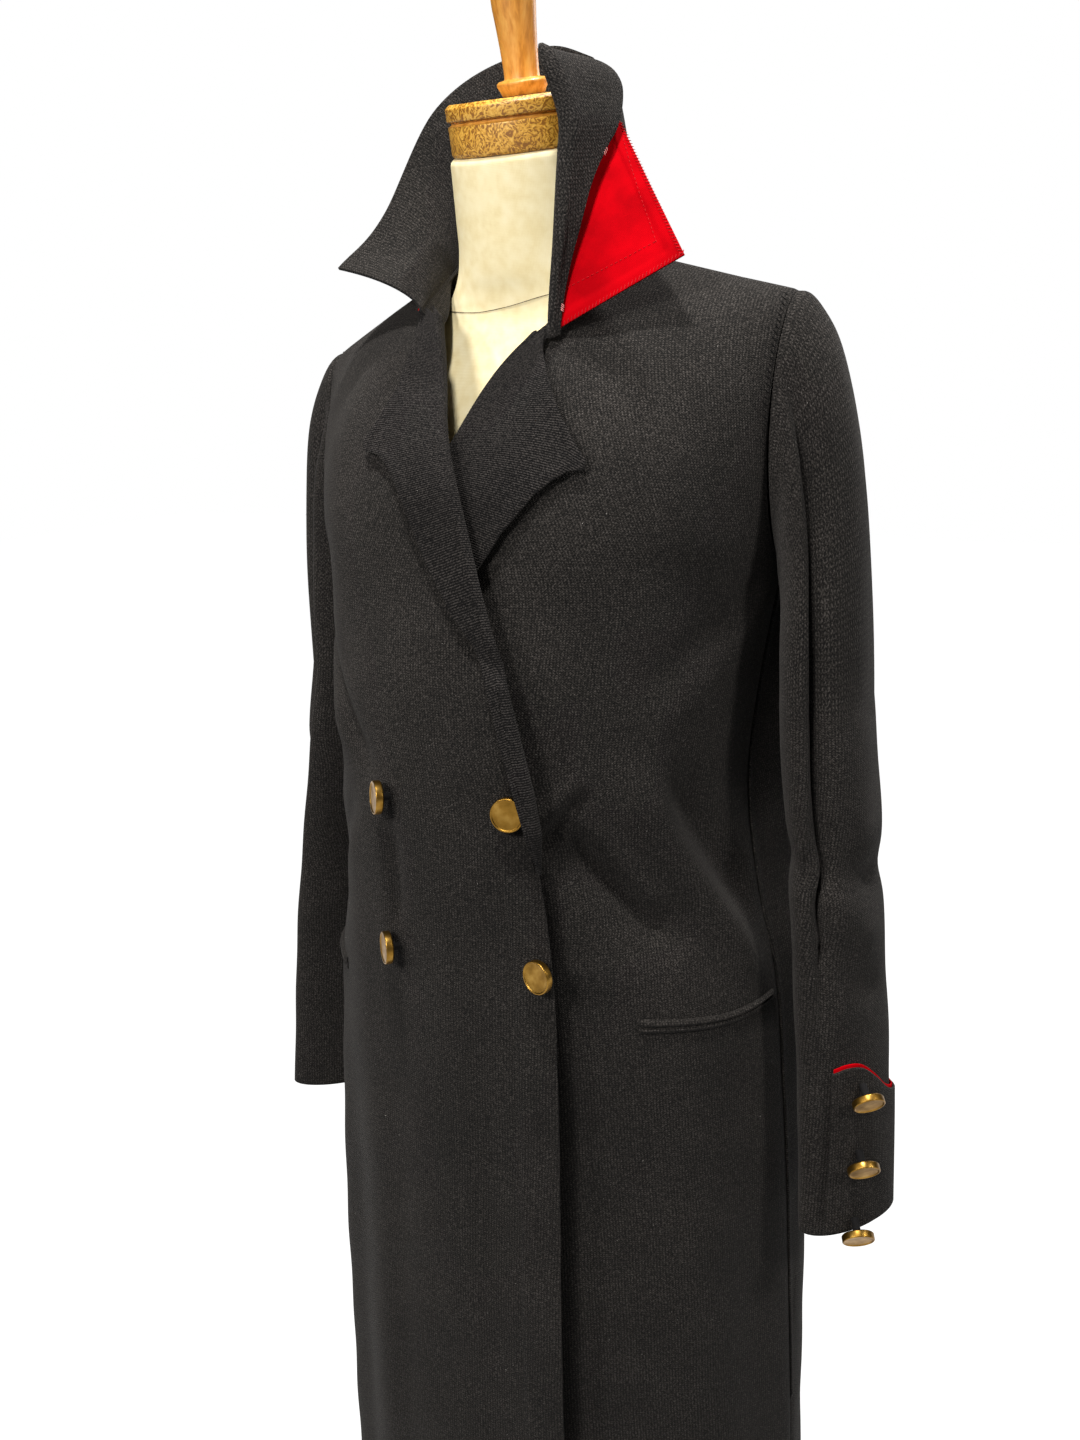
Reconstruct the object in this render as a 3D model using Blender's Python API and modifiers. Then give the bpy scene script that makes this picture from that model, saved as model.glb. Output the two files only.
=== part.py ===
"""Double-breasted knit coat hanging on a limbless dress form with a turned wooden stand.

Metres, +Z up, the front faces -Y and the wearer's left is +X.  The floor is z = 0 and the
form's axis is the Z axis.  Every cloth piece is a grid of points on a named surface, given
its thickness by Solidify.
"""
from collections import namedtuple
from math import cos, pi, radians, sin

import bpy
import numpy as np
from mathutils import Matrix, Vector

for old in list(bpy.data.objects):
    bpy.data.objects.remove(old, do_unlink=True)

# Cloth and seams
CLOTH = 0.0022            # knit wall of the panels, sleeves and collar
FACING = 0.0012           # red woven under-collar and flap lining
SEAM = 0.0003             # clear space between two sewn pieces
BEND_GAP = 0.0011         # clear space where two walls meet at an angle
HEM = 0.30                # height of the coat's hem above the floor
BREAK = 1.010             # height at which the lapel starts to turn out
UNDERARM = 1.200
GORGE = 1.372             # top of the roll line, where front and collar meet

# Lapel
LAPEL_DROP = 0.35         # fall of the lapel's rows per metre of width

# Buttons, 36 ligne
BUTTON_RADIUS = 0.0118
BUTTON_DEPTH = 0.0056
SHANK_RADIUS = 0.0028

# Form and stand
BASE_RADIUS = 0.190
BASE_HEIGHT = 0.032
POLE_RADIUS = 0.0175
FORM_BOTTOM = 0.800
NECK_TOP = 1.4830
NECK_LEAN = radians(10.8)
NECK_FORE = -0.0100       # y of the neck's centre at its top

# Sections of the body; loose is how far the back hangs out of the oval beside each side seam
Section = namedtuple("Section", "height half_width front back centre loose")
BODY = (
    Section(0.30, 0.205, 0.147, 0.147, 0.000, 0.000),
    Section(0.60, 0.198, 0.147, 0.147, 0.000, 0.006),
    Section(0.80, 0.190, 0.147, 0.147, 0.000, 0.018),
    Section(0.90, 0.182, 0.149, 0.147, 0.000, 0.027),
    Section(0.96, 0.168, 0.154, 0.146, 0.002, 0.033),
    Section(1.05, 0.158, 0.160, 0.142, 0.005, 0.038),
    Section(1.12, 0.164, 0.164, 0.136, 0.012, 0.033),
    Section(1.20, 0.176, 0.162, 0.128, 0.022, 0.010),
)

# Inner edge of the top front: free edge below the break, roll line above it
Edge = namedtuple("Edge", "height across lift")
EDGE = (
    Edge(0.30, 0.078, 0.013),
    Edge(0.50, 0.078, 0.013),
    Edge(0.70, 0.078, 0.011),
    Edge(0.85, 0.079, 0.008),
    Edge(0.93, 0.078, 0.006),
    Edge(1.01, 0.071, 0.003),
    Edge(1.08, 0.061, 0.001),
    Edge(1.14, 0.049, 0.000),
    Edge(1.20, 0.031, 0.000),
    Edge(1.272, 0.008, 0.000),
    Edge(1.305, -0.006, 0.000),
    Edge(1.340, -0.020, 0.000),
    Edge(1.372, -0.037, 0.000),
)

# Depth of the chest along the roll line, above the underarm
Chest = namedtuple("Chest", "height fore")
CHEST = (
    Chest(1.200, -0.1366),
    Chest(1.272, -0.1250),
    Chest(1.305, -0.1140),
    Chest(1.340, -0.0960),
    Chest(1.372, -0.0740),
)

# How far the top front stands off the one under it
Over = namedtuple("Over", "height gap")
OVER = (
    Over(0.30, 0.011),
    Over(0.90, 0.011),
    Over(1.05, 0.014),
    Over(1.22, 0.016),
    Over(1.28, 0.015),
    Over(1.33, 0.005),
    Over(1.372, 0.000),
)
OVER_FROM, OVER_FULL = -0.150, -0.085
LIFT_REACH = 0.065

# Lapels: width from the roll line to the edge, and the radius of the soft roll
Lapel = namedtuple("Lapel", "height width fold")
RIGHT_LAPEL = (
    Lapel(1.010, 0.0020, 0.0022),
    Lapel(1.040, 0.0030, 0.0066),
    Lapel(1.070, 0.0050, 0.0068),
    Lapel(1.105, 0.0065, 0.0055),
    Lapel(1.154, 0.0085, 0.0038),
    Lapel(1.190, 0.0180, 0.0034),
    Lapel(1.224, 0.0260, 0.0034),
    Lapel(1.260, 0.0310, 0.0034),
    Lapel(1.274, 0.0355, 0.0034),
    Lapel(1.286, 0.0440, 0.0034),
    Lapel(1.294, 0.0590, 0.0034),
    Lapel(1.304, 0.0480, 0.0034),
    Lapel(1.318, 0.0355, 0.0034),
    Lapel(1.342, 0.0320, 0.0034),
    Lapel(1.372, 0.0310, 0.0034),
)
LEFT_LAPEL = (
    Lapel(1.010, 0.0040, 0.0022),
    Lapel(1.040, 0.0100, 0.0028),
    Lapel(1.070, 0.0160, 0.0030),
    Lapel(1.105, 0.0220, 0.0032),
    Lapel(1.145, 0.0300, 0.0034),
    Lapel(1.200, 0.0440, 0.0034),
    Lapel(1.232, 0.0515, 0.0034),
    Lapel(1.256, 0.0575, 0.0034),
    Lapel(1.276, 0.0675, 0.0034),
    Lapel(1.288, 0.0790, 0.0034),
    Lapel(1.296, 0.0895, 0.0034),
    Lapel(1.306, 0.0740, 0.0034),
    Lapel(1.320, 0.0575, 0.0034),
    Lapel(1.342, 0.0370, 0.0034),
    Lapel(1.372, 0.0200, 0.0034),
)
SKIRT_ROWS = (0.30, 0.42, 0.54, 0.66, 0.76, 0.84, 0.90, 0.955)
FRONT_COLUMNS = (0.0, 0.09, 0.20, 0.30, 0.36, 0.46, 0.58, 0.70, 0.82, 0.92, 1.0)
LAPEL_COLUMNS = (0.0, 0.2, 0.42, 0.64, 0.84, 1.0)
FOLD_STEPS = 5

# Top edge of a front, from the roll line to the shoulder point
Top = namedtuple("Top", "part out fore height")
FRONT_TOP = (
    Top(0.00, 0.037, -0.0740, 1.372),
    Top(0.09, 0.054, -0.0585, 1.3810),
    Top(0.20, 0.0635, -0.0320, 1.3940),
    Top(0.36, 0.070, 0.0078, 1.412),
    Top(1.00, 0.187, 0.0150, 1.381),
)
BACK_TOP = (
    Top(0.00, 0.000, 0.0740, 1.425),
    Top(0.10, 0.024, 0.0690, 1.4245),
    Top(0.20, 0.046, 0.0545, 1.4220),
    Top(0.28, 0.061, 0.0340, 1.4175),
    Top(0.36, 0.070, 0.0078, 1.412),
    Top(1.00, 0.187, 0.0150, 1.381),
)
BackLine = namedtuple("BackLine", "height aft")
BACK_LINE = (
    BackLine(1.200, 0.150),
    BackLine(1.280, 0.149),
    BackLine(1.350, 0.130),
    BackLine(1.400, 0.100),
    BackLine(1.425, 0.074),
)
BACK_ROWS = (0.0, 0.18, 0.36, 0.54, 0.72, 0.88, 1.0)
BACK_COLUMNS = (0.0, 0.10, 0.20, 0.28, 0.36, 0.48, 0.62, 0.76, 0.90, 1.0)
SHOULDER_DROOP = 0.030    # the right shoulder hangs this much lower
NECK_FALL = 0.014         # the left front hangs this much lower at its gorge
CHEST_EASE = 1.7          # the chest rises upright before it turns to the shoulder

# Hanging part of a sleeve
Hang = namedtuple("Hang", "height out fore thick wide turn_left turn_right valley")
HANG = (
    Hang(0.709, 0.239, 0.002, 0.0180, 0.0400, 30.0, -46.0, 0.000),
    Hang(0.800, 0.2335, 0.013, 0.0210, 0.0440, 22.0, -36.0, 0.000),
    Hang(0.900, 0.2260, 0.021, 0.0240, 0.0490, 13.0, -22.0, 0.006),
    Hang(1.000, 0.2165, 0.028, 0.0270, 0.0545, 6.0, -9.0, 0.019),
    Hang(1.100, 0.2065, 0.034, 0.0275, 0.0600, 0.0, 0.0, 0.021),
)
HANG_ROWS = (1.04, 0.98, 0.92, 0.87, 0.825, 0.78, 0.74, 0.709)
HEAD_GAP, UNDER_GAP = 0.0014, 0.0024     # sleeve from the armhole at the shoulder, more below
CAP_ROWS = (0.0, 0.08, 0.2, 0.36, 0.54, 0.72, 0.87, 1.0)
SLEEVE_TURNS = (0, 20, 36, 47, 55, 61, 68, 76, 90, 108, 130, 152, 172,
                192, 212, 232, 252, 268, 286, 304, 322, 341)
VALLEY_TURN, VALLEY_SPREAD = 64.0, 8.5

# Stand-up collar: base line from the nape to the notch, and the free edge above it
Neck = namedtuple("Neck", "part out fore height")
NECK = (
    Neck(0.00, 0.000, 0.0745, 1.4268),
    Neck(0.25, 0.047, 0.0545, 1.4238),
    Neck(0.50, 0.0705, 0.0070, 1.4136),
    Neck(0.75, 0.0625, -0.0370, 1.3935),
    Neck(1.00, 0.0510, -0.0800, 1.3760),
)
Wing = namedtuple("Wing", "part out fore up")
OPEN_WING = (
    Wing(0.00, 0.000, 0.012, 0.129),
    Wing(0.12, 0.004, 0.012, 0.140),
    Wing(0.25, 0.012, 0.010, 0.135),
    Wing(0.50, 0.021, 0.003, 0.106),
    Wing(0.75, 0.052, 0.012, 0.055),
    Wing(1.00, 0.086, 0.024, 0.033),
)
UPRIGHT_WING = (
    Wing(0.00, 0.000, 0.012, 0.129),
    Wing(0.12, -0.006, 0.010, 0.114),
    Wing(0.25, -0.018, 0.006, 0.103),
    Wing(0.50, -0.014, 0.003, 0.106),
    Wing(0.75, 0.004, 0.014, 0.144),
    Wing(1.00, 0.008, 0.026, 0.174),
)
TOP_CURL = (-0.019, -0.011)   # the upright wing's top corner leans to the neck by this
Turnback = namedtuple("Turnback", "part width")
TURNBACK = (
    Turnback(0.00, 0.0040),
    Turnback(0.27, 0.0125),
    Turnback(0.50, 0.0270),
    Turnback(0.60, 0.0395),
    Turnback(0.72, 0.0570),
    Turnback(0.85, 0.0680),
    Turnback(1.00, 0.0680),
)
# Red left wing: its line under the turned-back edge, and its point
RED_RISE_LOW, RED_RISE_HIGH = 0.01, 0.70
RED_TUCK = 0.0020         # start of the red cloth behind the turned-back edge
RED_LIFT = 0.0036
RED_POINT = (0.137, -0.056, 1.403)
RED_TOP_LENGTH = 0.012
RED_ACROSS = (0.0, 0.16, 0.34, 0.54, 0.76, 1.0)
RED_ROWS = 9
RED_RIGHT_FROM = 0.50     # part of the neck line where the right wing's facing starts
COLLAR_PARTS = (0.0, 0.12, 0.25, 0.37, 0.5, 0.6, 0.7, 0.8, 0.9, 1.0)
COLLAR_ROWS = (0.0, 0.14, 0.3, 0.5, 0.7, 0.87, 1.0)
TURNBACK_FOLD = 0.0046
FACING_OUT = CLOTH / 2 + SEAM + FACING / 2 + 0.0003

# Pockets: a welt along the left and right fronts
Pocket = namedtuple("Pocket", "way share height")
POCKET = (
    Pocket(0.0, 0.585, 0.890),
    Pocket(0.5, 0.785, 0.884),
    Pocket(1.0, 0.970, 0.885),
)
WELT_HEIGHT = 0.010
WELT = 0.0016

# Cuff flap on the outer side of each sleeve: its borders and its top edge, arched and falling to the back
FLAP_TURNS = (50, 47, 36, 22, 8, -6, -22, -40, -60, -79, -97, -100)
FLAP_RISES = (0.0, 0.2, 0.45, 0.72, 1.0)
FLAP_FOOT = 0.7125
FlapTop = namedtuple("FlapTop", "turn height")
FLAP_TOP = (
    FlapTop(-100.0, 0.800),
    FlapTop(-60.0, 0.801),
    FlapTop(-25.0, 0.811),
    FlapTop(-5.0, 0.825),
    FlapTop(15.0, 0.837),
    FlapTop(32.0, 0.840),
    FlapTop(50.0, 0.838),
)
FLAP = 0.0018
FLAP_LINING_RISE = 0.0022

Button = namedtuple("Button", "name out height yaw pitch stand")
FRONT_BUTTONS = (
    Button("button_front_upper_left", 0.0560, 1.053, 12.0, 2.0, 0.0064),
    Button("button_front_lower_left", 0.0725, 0.940, -14.0, 2.0, 0.0105),
    Button("button_front_upper_right", -0.0400, 1.054, -42.0, 4.0, 0.0105),
    Button("button_front_lower_right", -0.0440, 0.940, -42.0, 2.0, 0.0105),
)
CUFF_TURN = 20.0
CUFF_YAW = 20.0           # turn of a cuff button from the cloth towards the front
CUFF_BUTTONS = (("upper", 0.816), ("middle", 0.765), ("lower", 0.7125))
CUFF_STAND = 0.0120       # disc centre above the cloth, cuff
CUFF_PITCH = -38.0

COAT = bpy.data.collections.new("knit_coat_on_dress_form")
bpy.context.scene.collection.children.link(COAT)


def material(name, colour, roughness, metallic=0.0):
    made = bpy.data.materials.new(name)
    made.use_nodes = True
    shader = made.node_tree.nodes["Principled BSDF"]
    shader.inputs["Base Color"].default_value = (*colour, 1.0)
    shader.inputs["Roughness"].default_value = roughness
    shader.inputs["Metallic"].default_value = metallic
    return made


BLACK_KNIT = material("black_wool_knit", (0.012, 0.011, 0.012), 0.92)
RED_SATIN = material("red_woven_facing", (0.42, 0.008, 0.012), 0.62)
BRASS = material("aged_brass", (0.62, 0.40, 0.13), 0.34, 1.0)
LINEN = material("cream_linen", (0.72, 0.64, 0.50), 0.88)
WOOD = material("honey_wood", (0.50, 0.25, 0.08), 0.45)


def along(table, name, at):
    """Smooth value of a named column at a place in the table's first column."""
    keys = np.array([row[0] for row in table])
    values = np.array([getattr(row, name) for row in table])
    slopes = np.gradient(values, keys)
    at = np.clip(at, keys[0], keys[-1])
    low = np.clip(np.searchsorted(keys, at) - 1, 0, len(keys) - 2)
    step = keys[low + 1] - keys[low]
    t = (at - keys[low]) / step
    rise = t * t * (3.0 - 2.0 * t)
    return ((1.0 - rise) * values[low] + rise * values[low + 1]
            + (t ** 3 - 2.0 * t ** 2 + t) * step * slopes[low]
            + (t ** 3 - t ** 2) * step * slopes[low + 1])


def straight(table, name, at):
    """Value of a named column with straight runs between the rows."""
    keys = [row[0] for row in table]
    return np.interp(at, keys, [getattr(row, name) for row in table])


def ease(value):
    value = np.clip(value, 0.0, 1.0)
    return value * value * (3.0 - 2.0 * value)


def unit(vectors):
    return vectors / np.linalg.norm(vectors, axis=-1, keepdims=True)


def body_point(turn, height):
    """Point on the body of the coat; turn is 0 at centre front and 90 degrees at the left side."""
    depth = np.where(np.cos(turn) > 0.0, along(BODY, "front", height), along(BODY, "back", height))
    behind = np.clip((np.abs(turn) - pi / 2.0) / (pi / 2.0), 0.0, 1.0)
    loose = along(BODY, "loose", height) * np.sin(pi * behind ** 0.7) ** 2
    x = along(BODY, "half_width", height) * np.sin(turn) + 0.86 * loose * np.sign(turn)
    y = along(BODY, "centre", height) - depth * np.cos(turn) + 0.51 * loose
    return np.stack(np.broadcast_arrays(x, y, height), -1)


def armhole(turn, side):
    """Armhole ring; turn is 0 at the shoulder, 90 degrees in front and 180 at the underarm."""
    crown = ((1.0 + np.cos(turn)) / 2.0) ** 2
    x = 0.176 + 0.011 * crown
    y = 0.0185 - 0.0035 * np.cos(turn) - 0.036 * np.sin(turn)
    z = 1.2905 + 0.0905 * np.cos(turn) - np.where(side < 0.0, SHOULDER_DROOP, 0.0) * crown
    return np.stack(np.broadcast_arrays(side * x, y, z), -1)


def droop(side, share):
    """Fall of the right shoulder seam, growing from the neck to the shoulder point."""
    return np.where(side < 0.0, SHOULDER_DROOP, 0.0) * np.clip((share - 0.36) / 0.64, 0.0, 1.0)


def fall(side, share):
    """Fall of the left front along its neck edge, from the gorge back to the shoulder seam."""
    return np.where(side > 0.0, NECK_FALL, 0.0) * (1.0 - ease(share / 0.36))


def blend_patch(share, rise, low, top, inner, outer):
    """Surface between four edges, rising upright before it leans to its top edge."""
    lean = np.stack([rise ** CHEST_EASE, rise ** CHEST_EASE, rise], -1)
    share = share[..., None]
    inner_line = (1.0 - lean) * inner[0] + lean * inner[1]
    outer_line = (1.0 - lean) * outer[0] + lean * outer[1]
    return ((1.0 - lean) * low + lean * top
            + (1.0 - share) * (inner[2] - inner_line)
            + share * (outer[2] - outer_line))


def front_point(side, share, height):
    """Point of a front; share is 0 at the roll line or free edge and 1 at the side or armhole.

    height is taken at the roll line.  The right front (side -1) lies over the left one.
    """
    share, height = np.broadcast_arrays(np.asarray(share, float), np.asarray(height, float))
    level = np.minimum(height, UNDERARM)
    across = -side * along(EDGE, "across", level)
    inner_turn = np.arcsin(across / along(BODY, "half_width", level))
    turn = inner_turn + share * (side * (pi / 2.0 - 0.0012) - inner_turn)
    low = body_point(turn, level)

    rise = np.clip((height - UNDERARM) / (GORGE - UNDERARM), 0.0, 1.0)
    top = np.stack([side * straight(FRONT_TOP, "out", share),
                    straight(FRONT_TOP, "fore", share),
                    straight(FRONT_TOP, "height", share) - droop(side, share) - fall(side, share)], -1)
    upper = np.maximum(height, UNDERARM)
    roll = np.stack([-side * along(EDGE, "across", upper), along(CHEST, "fore", upper),
                     upper - fall(side, 0.0) * rise], -1)
    start = np.array([-side * along(EDGE, "across", UNDERARM), CHEST[0].fore, UNDERARM])
    end = np.array([side * FRONT_TOP[0].out, FRONT_TOP[0].fore, FRONT_TOP[0].height - fall(side, 0.0)])
    arm = armhole(pi * (1.0 - rise), side)
    arm_ends = armhole(np.array([pi, 0.0]), side)
    high = blend_patch(share, rise, low, top, (start, end, roll), (arm_ends[0], arm_ends[1], arm))
    point = np.where((height > UNDERARM)[..., None], high, low)
    if side < 0:
        point = point + stand_off(point, height)
    return point


def stand_off(point, height):
    """Outward shift of the top front over the under front, and the lift of its free edge."""
    x = point[..., 0]
    edge = along(EDGE, "across", height)
    gap = along(OVER, "gap", height) * ease((x - OVER_FROM) / (OVER_FULL - OVER_FROM))
    gap = gap + along(EDGE, "lift", height) * ease((x - edge + LIFT_REACH) / LIFT_REACH)
    outward = unit(np.stack([0.35 * x / 0.18, np.full_like(x, -1.0), np.zeros_like(x)], -1))
    return gap[..., None] * outward


def back_point(share, rise_row):
    """Point of the back; share runs from -1 at the right edge to 1 at the left edge.

    rise_row is a height below the underarm, or 1 plus the part of the way up to the shoulder.
    """
    share, rise_row = np.broadcast_arrays(np.asarray(share, float), np.asarray(rise_row, float))
    side, part = np.where(share < 0.0, -1.0, 1.0), np.abs(share)
    raised = rise_row >= 2.0
    level = np.where(raised, UNDERARM, rise_row)
    turn = pi - part * (pi / 2.0 - 0.0012)
    low = body_point(turn, level)
    rise = np.where(raised, rise_row - 2.0, 0.0)
    top = np.stack([straight(BACK_TOP, "out", part), straight(BACK_TOP, "fore", part),
                    straight(BACK_TOP, "height", part) - droop(side, part)], -1)
    spine_height = UNDERARM + rise * (BACK_TOP[0].height - UNDERARM)
    spine = np.stack([np.zeros_like(rise), along(BACK_LINE, "aft", spine_height), spine_height], -1)
    start = np.array([0.0, BACK_LINE[0].aft, UNDERARM])
    end = np.array([0.0, BACK_TOP[0].fore, BACK_TOP[0].height])
    arm = armhole(pi * (1.0 + rise), side)
    arm_low = armhole(np.full_like(rise, pi), side)
    arm_high = armhole(np.full_like(rise, 2.0 * pi), side)
    low[..., 0] *= side
    top[..., 0] *= side
    high = blend_patch(part, rise, low, top, (start, end, spine), (arm_low, arm_high, arm))
    return np.where(raised[..., None], high, low)


def surface_normal(surface, u, v, hint):
    """Unit normal of a surface on the side that the hint vector points to."""
    step = 1e-4
    along_u = surface(u + step, v) - surface(u - step, v)
    along_v = surface(u, v + step) - surface(u, v - step)
    normal = unit(np.cross(along_u, along_v))
    facing = np.sum(normal * hint, axis=-1, keepdims=True)
    return np.where(facing < 0.0, -normal, normal)


def sheet(name, points, thickness, made_of, closed=False):
    """Cloth wall of one thickness on a grid of points, rows first."""
    rows, columns = points.shape[:2]
    spans = columns if closed else columns - 1
    faces = [(r * columns + c, r * columns + (c + 1) % columns,
              (r + 1) * columns + (c + 1) % columns, (r + 1) * columns + c)
             for r in range(rows - 1) for c in range(spans)]
    return cloth(name, points.reshape(-1, 3), faces, thickness, made_of)


def cloth(name, vertices, faces, thickness, made_of):
    mesh = bpy.data.meshes.new(name)
    mesh.from_pydata([tuple(map(float, v)) for v in vertices], [], faces)
    mesh.materials.append(made_of)
    piece = bpy.data.objects.new(name, mesh)
    COAT.objects.link(piece)
    wall = piece.modifiers.new("wall", 'SOLIDIFY')
    wall.thickness = thickness
    wall.offset = 0.0
    wall.use_even_offset = True
    wall.use_quality_normals = True
    mesh.shade_smooth()
    return piece


def row_length(side, height):
    line = front_point(side, np.linspace(0.0, 1.0, 40), height)
    return float(np.sum(np.linalg.norm(np.diff(line, axis=0), axis=1)))


def front_piece(name, side):
    """One front with its lapel turned out over the roll line."""
    table = LEFT_LAPEL if side > 0 else RIGHT_LAPEL
    heights = np.array(list(SKIRT_ROWS) + [row.height for row in table])
    columns = np.array(FRONT_COLUMNS)
    panel = front_point(side, columns[None, :], heights[:, None])
    panel[-1] += seam_shift(columns, -BEND_GAP / 2.0)
    first = len(SKIRT_ROWS)

    vertices = list(panel.reshape(-1, 3))
    wide = len(columns)
    faces = [(r * wide + c, r * wide + c + 1, (r + 1) * wide + c + 1, (r + 1) * wide + c)
             for r in range(len(heights) - 1) for c in range(wide - 1)]

    turned = []
    for row, lapel in enumerate(table):
        turned.append(lapel_row(side, lapel, panel[first + row, 0]))
    turned = np.array(turned)
    start = len(vertices)
    vertices.extend(turned.reshape(-1, 3))
    count = turned.shape[1]

    def corner(row, place):
        if place == 0:
            return (first + row) * wide
        return start + row * count + place - 1

    for row in range(len(table) - 1):
        for place in range(count):
            faces.append((corner(row, place + 1), corner(row, place),
                          corner(row + 1, place), corner(row + 1, place + 1)))
    return cloth(name, vertices, faces, CLOTH, BLACK_KNIT)


def seam_shift(share, amount):
    """Small move in y of a top edge away from the seam, on its shoulder part only."""
    shift = np.zeros((len(share), 3))
    shift[:, 1] = np.where(share > 0.3, amount, 0.0)
    return shift


def lapel_row(side, lapel, roll):
    """Points of one lapel row: round the roll, then back over the front."""
    def surface(u, v):
        return front_point(side, u, v)

    hint = np.array([0.4 * side, -1.0, 0.2])
    height = min(lapel.height, GORGE - 0.0012)
    height = UNDERARM - 0.0012 if lapel.height == UNDERARM else height
    normal = surface_normal(surface, np.array(0.003), np.array(height), hint)
    tangent = unit(surface(0.02, height) - surface(0.0, height))
    radius, width = lapel.fold, lapel.width
    centre = roll + normal * radius
    points = []
    for step in range(1, FOLD_STEPS):
        turn = pi * step / FOLD_STEPS
        points.append(centre - radius * cos(turn) * normal - radius * sin(turn) * tangent)
    length = row_length(side, lapel.height)
    for part in LAPEL_COLUMNS:
        share = np.array(max(part * width / length, 0.003))
        low = np.array(min(lapel.height - LAPEL_DROP * part * width, GORGE - 0.0012))
        if abs(low - UNDERARM) < 0.0006:
            low = np.array(UNDERARM - 0.0006)
        out = surface_normal(surface, share, low, hint)
        place = surface(share, low) if part > 0.0 else roll
        points.append(place + 2.0 * radius * out)
    return points


def back_piece():
    parts = np.array([-p for p in BACK_COLUMNS[:0:-1]] + list(BACK_COLUMNS))
    waist_rows = [BREAK, 1.07, 1.135, UNDERARM]
    rows = np.array(list(SKIRT_ROWS) + waist_rows + [2.0 + r for r in BACK_ROWS[1:]])
    points = back_point(parts[None, :], rows[:, None])
    points[-1] += seam_shift(np.abs(parts), BEND_GAP / 2.0)
    return sheet("back", points, CLOTH, BLACK_KNIT)


def hang_ring(turn, height, side):
    """Ring of the hanging sleeve; turn is 0 on the outer face and 90 degrees at the front fold."""
    swing = np.radians(along(HANG, "turn_left" if side > 0 else "turn_right", height))
    off = (np.degrees(turn) - VALLEY_TURN) / VALLEY_SPREAD
    dent = along(HANG, "valley", height) * np.exp(-0.5 * off ** 2)
    thick, wide = along(HANG, "thick", height), along(HANG, "wide", height)
    outward = thick * np.cos(turn)
    backward = -wide * np.sin(turn)
    inward = unit(np.stack([np.cos(turn) / thick, -np.sin(turn) / wide], -1))
    outward = outward - dent * inward[..., 0]
    backward = backward - dent * inward[..., 1]
    x = along(HANG, "out", height) + outward * np.cos(swing) + backward * np.sin(swing)
    y = along(HANG, "fore", height) - outward * np.sin(swing) + backward * np.cos(swing)
    return np.stack(np.broadcast_arrays(side * x, y, height), -1)


def sleeve_point(turn, way, side):
    """Point of a sleeve; way is 0 to 1 over the sleeve head, then 2 minus a height further down."""
    turn, way = np.broadcast_arrays(np.asarray(turn, float), np.asarray(way, float))
    part = np.clip(way, 0.0, 1.0)[..., None]
    start = armhole(turn, side)
    start[..., 0] += side * (HEAD_GAP + UNDER_GAP * (1.0 - np.cos(turn)) / 2.0)
    end = hang_ring(turn, np.full_like(turn, HANG[-1].height), side)
    reach = side * np.maximum(side * end[..., 0], side * start[..., 0] + 0.005)
    bend = np.stack([reach, 0.5 * (start[..., 1] + end[..., 1]), start[..., 2] - 0.008], -1)
    head = (1.0 - part) ** 2 * start + 2.0 * part * (1.0 - part) * bend + part ** 2 * end
    lower = hang_ring(turn, np.where(way > 1.0, 2.0 - way + 0.0, HANG[-1].height), side)
    return np.where((way > 1.0)[..., None], lower, head)


def sleeve_piece(name, side):
    turns = np.radians(np.array(SLEEVE_TURNS, float))
    rows = [sleeve_point(turns, np.array(way), side) for way in CAP_ROWS]
    rows += [hang_ring(turns, np.full_like(turns, height), side) for height in HANG_ROWS]
    return sheet(name, np.array(rows), CLOTH, BLACK_KNIT, closed=True)


def sleeve_normal(turn, height, side):
    def surface(u, v):
        return hang_ring(u, v, side)

    here = hang_ring(turn, height, side)
    middle = np.stack(np.broadcast_arrays(side * along(HANG, "out", height),
                                          along(HANG, "fore", height), height), -1)
    return surface_normal(surface, turn, height, here - middle)


def flap_grid(side, rises, out, turns, more=0.0):
    """Points over the cuff between the flap's foot and its arched top edge."""
    turn, rise = np.meshgrid(np.array(turns, float), np.array(rises, float))
    top = along(FLAP_TOP, "height", turn)
    height = FLAP_FOOT + (top - FLAP_FOOT) * rise + more * (rise == 1.0)
    turn = np.radians(turn)
    return hang_ring(turn, height, side) + out * sleeve_normal(turn, height, side)


def flap_pieces(name, side):
    lining_out = CLOTH / 2.0 + SEAM + FACING / 2.0 + 0.0006
    flap_out = lining_out + FACING / 2.0 + SEAM + FLAP / 2.0
    sheet("cuff_flap_" + name, flap_grid(side, FLAP_RISES, flap_out, FLAP_TURNS), FLAP, BLACK_KNIT)
    lining = flap_grid(side, FLAP_RISES[2:], lining_out, FLAP_TURNS[1:-1], FLAP_LINING_RISE)
    sheet("cuff_flap_lining_" + name, lining, FACING, RED_SATIN)
    return flap_out + FLAP / 2.0


def neck_point(side, part):
    return np.stack(np.broadcast_arrays(side * along(NECK, "out", part), along(NECK, "fore", part),
                                        along(NECK, "height", part) - fall(side, 0.72 * (1.0 - part))), -1)


def wing_point(table, side, part, rise):
    """Collar surface: upright at its base, leaning out to its free edge."""
    part, rise = np.broadcast_arrays(np.asarray(part, float), np.asarray(rise, float))
    lean, climb = rise ** 1.55, rise ** 0.9
    move = np.stack([side * along(table, "out", part) * lean, along(table, "fore", part) * rise,
                     along(table, "up", part) * climb], -1)
    if side > 0:
        curl = ease((rise - 0.66) / 0.40) * ease((part - 0.45) / 0.55)
        move = move + curl[..., None] * np.array([*TOP_CURL, 0.0])
    return neck_point(side, part) + move


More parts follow.
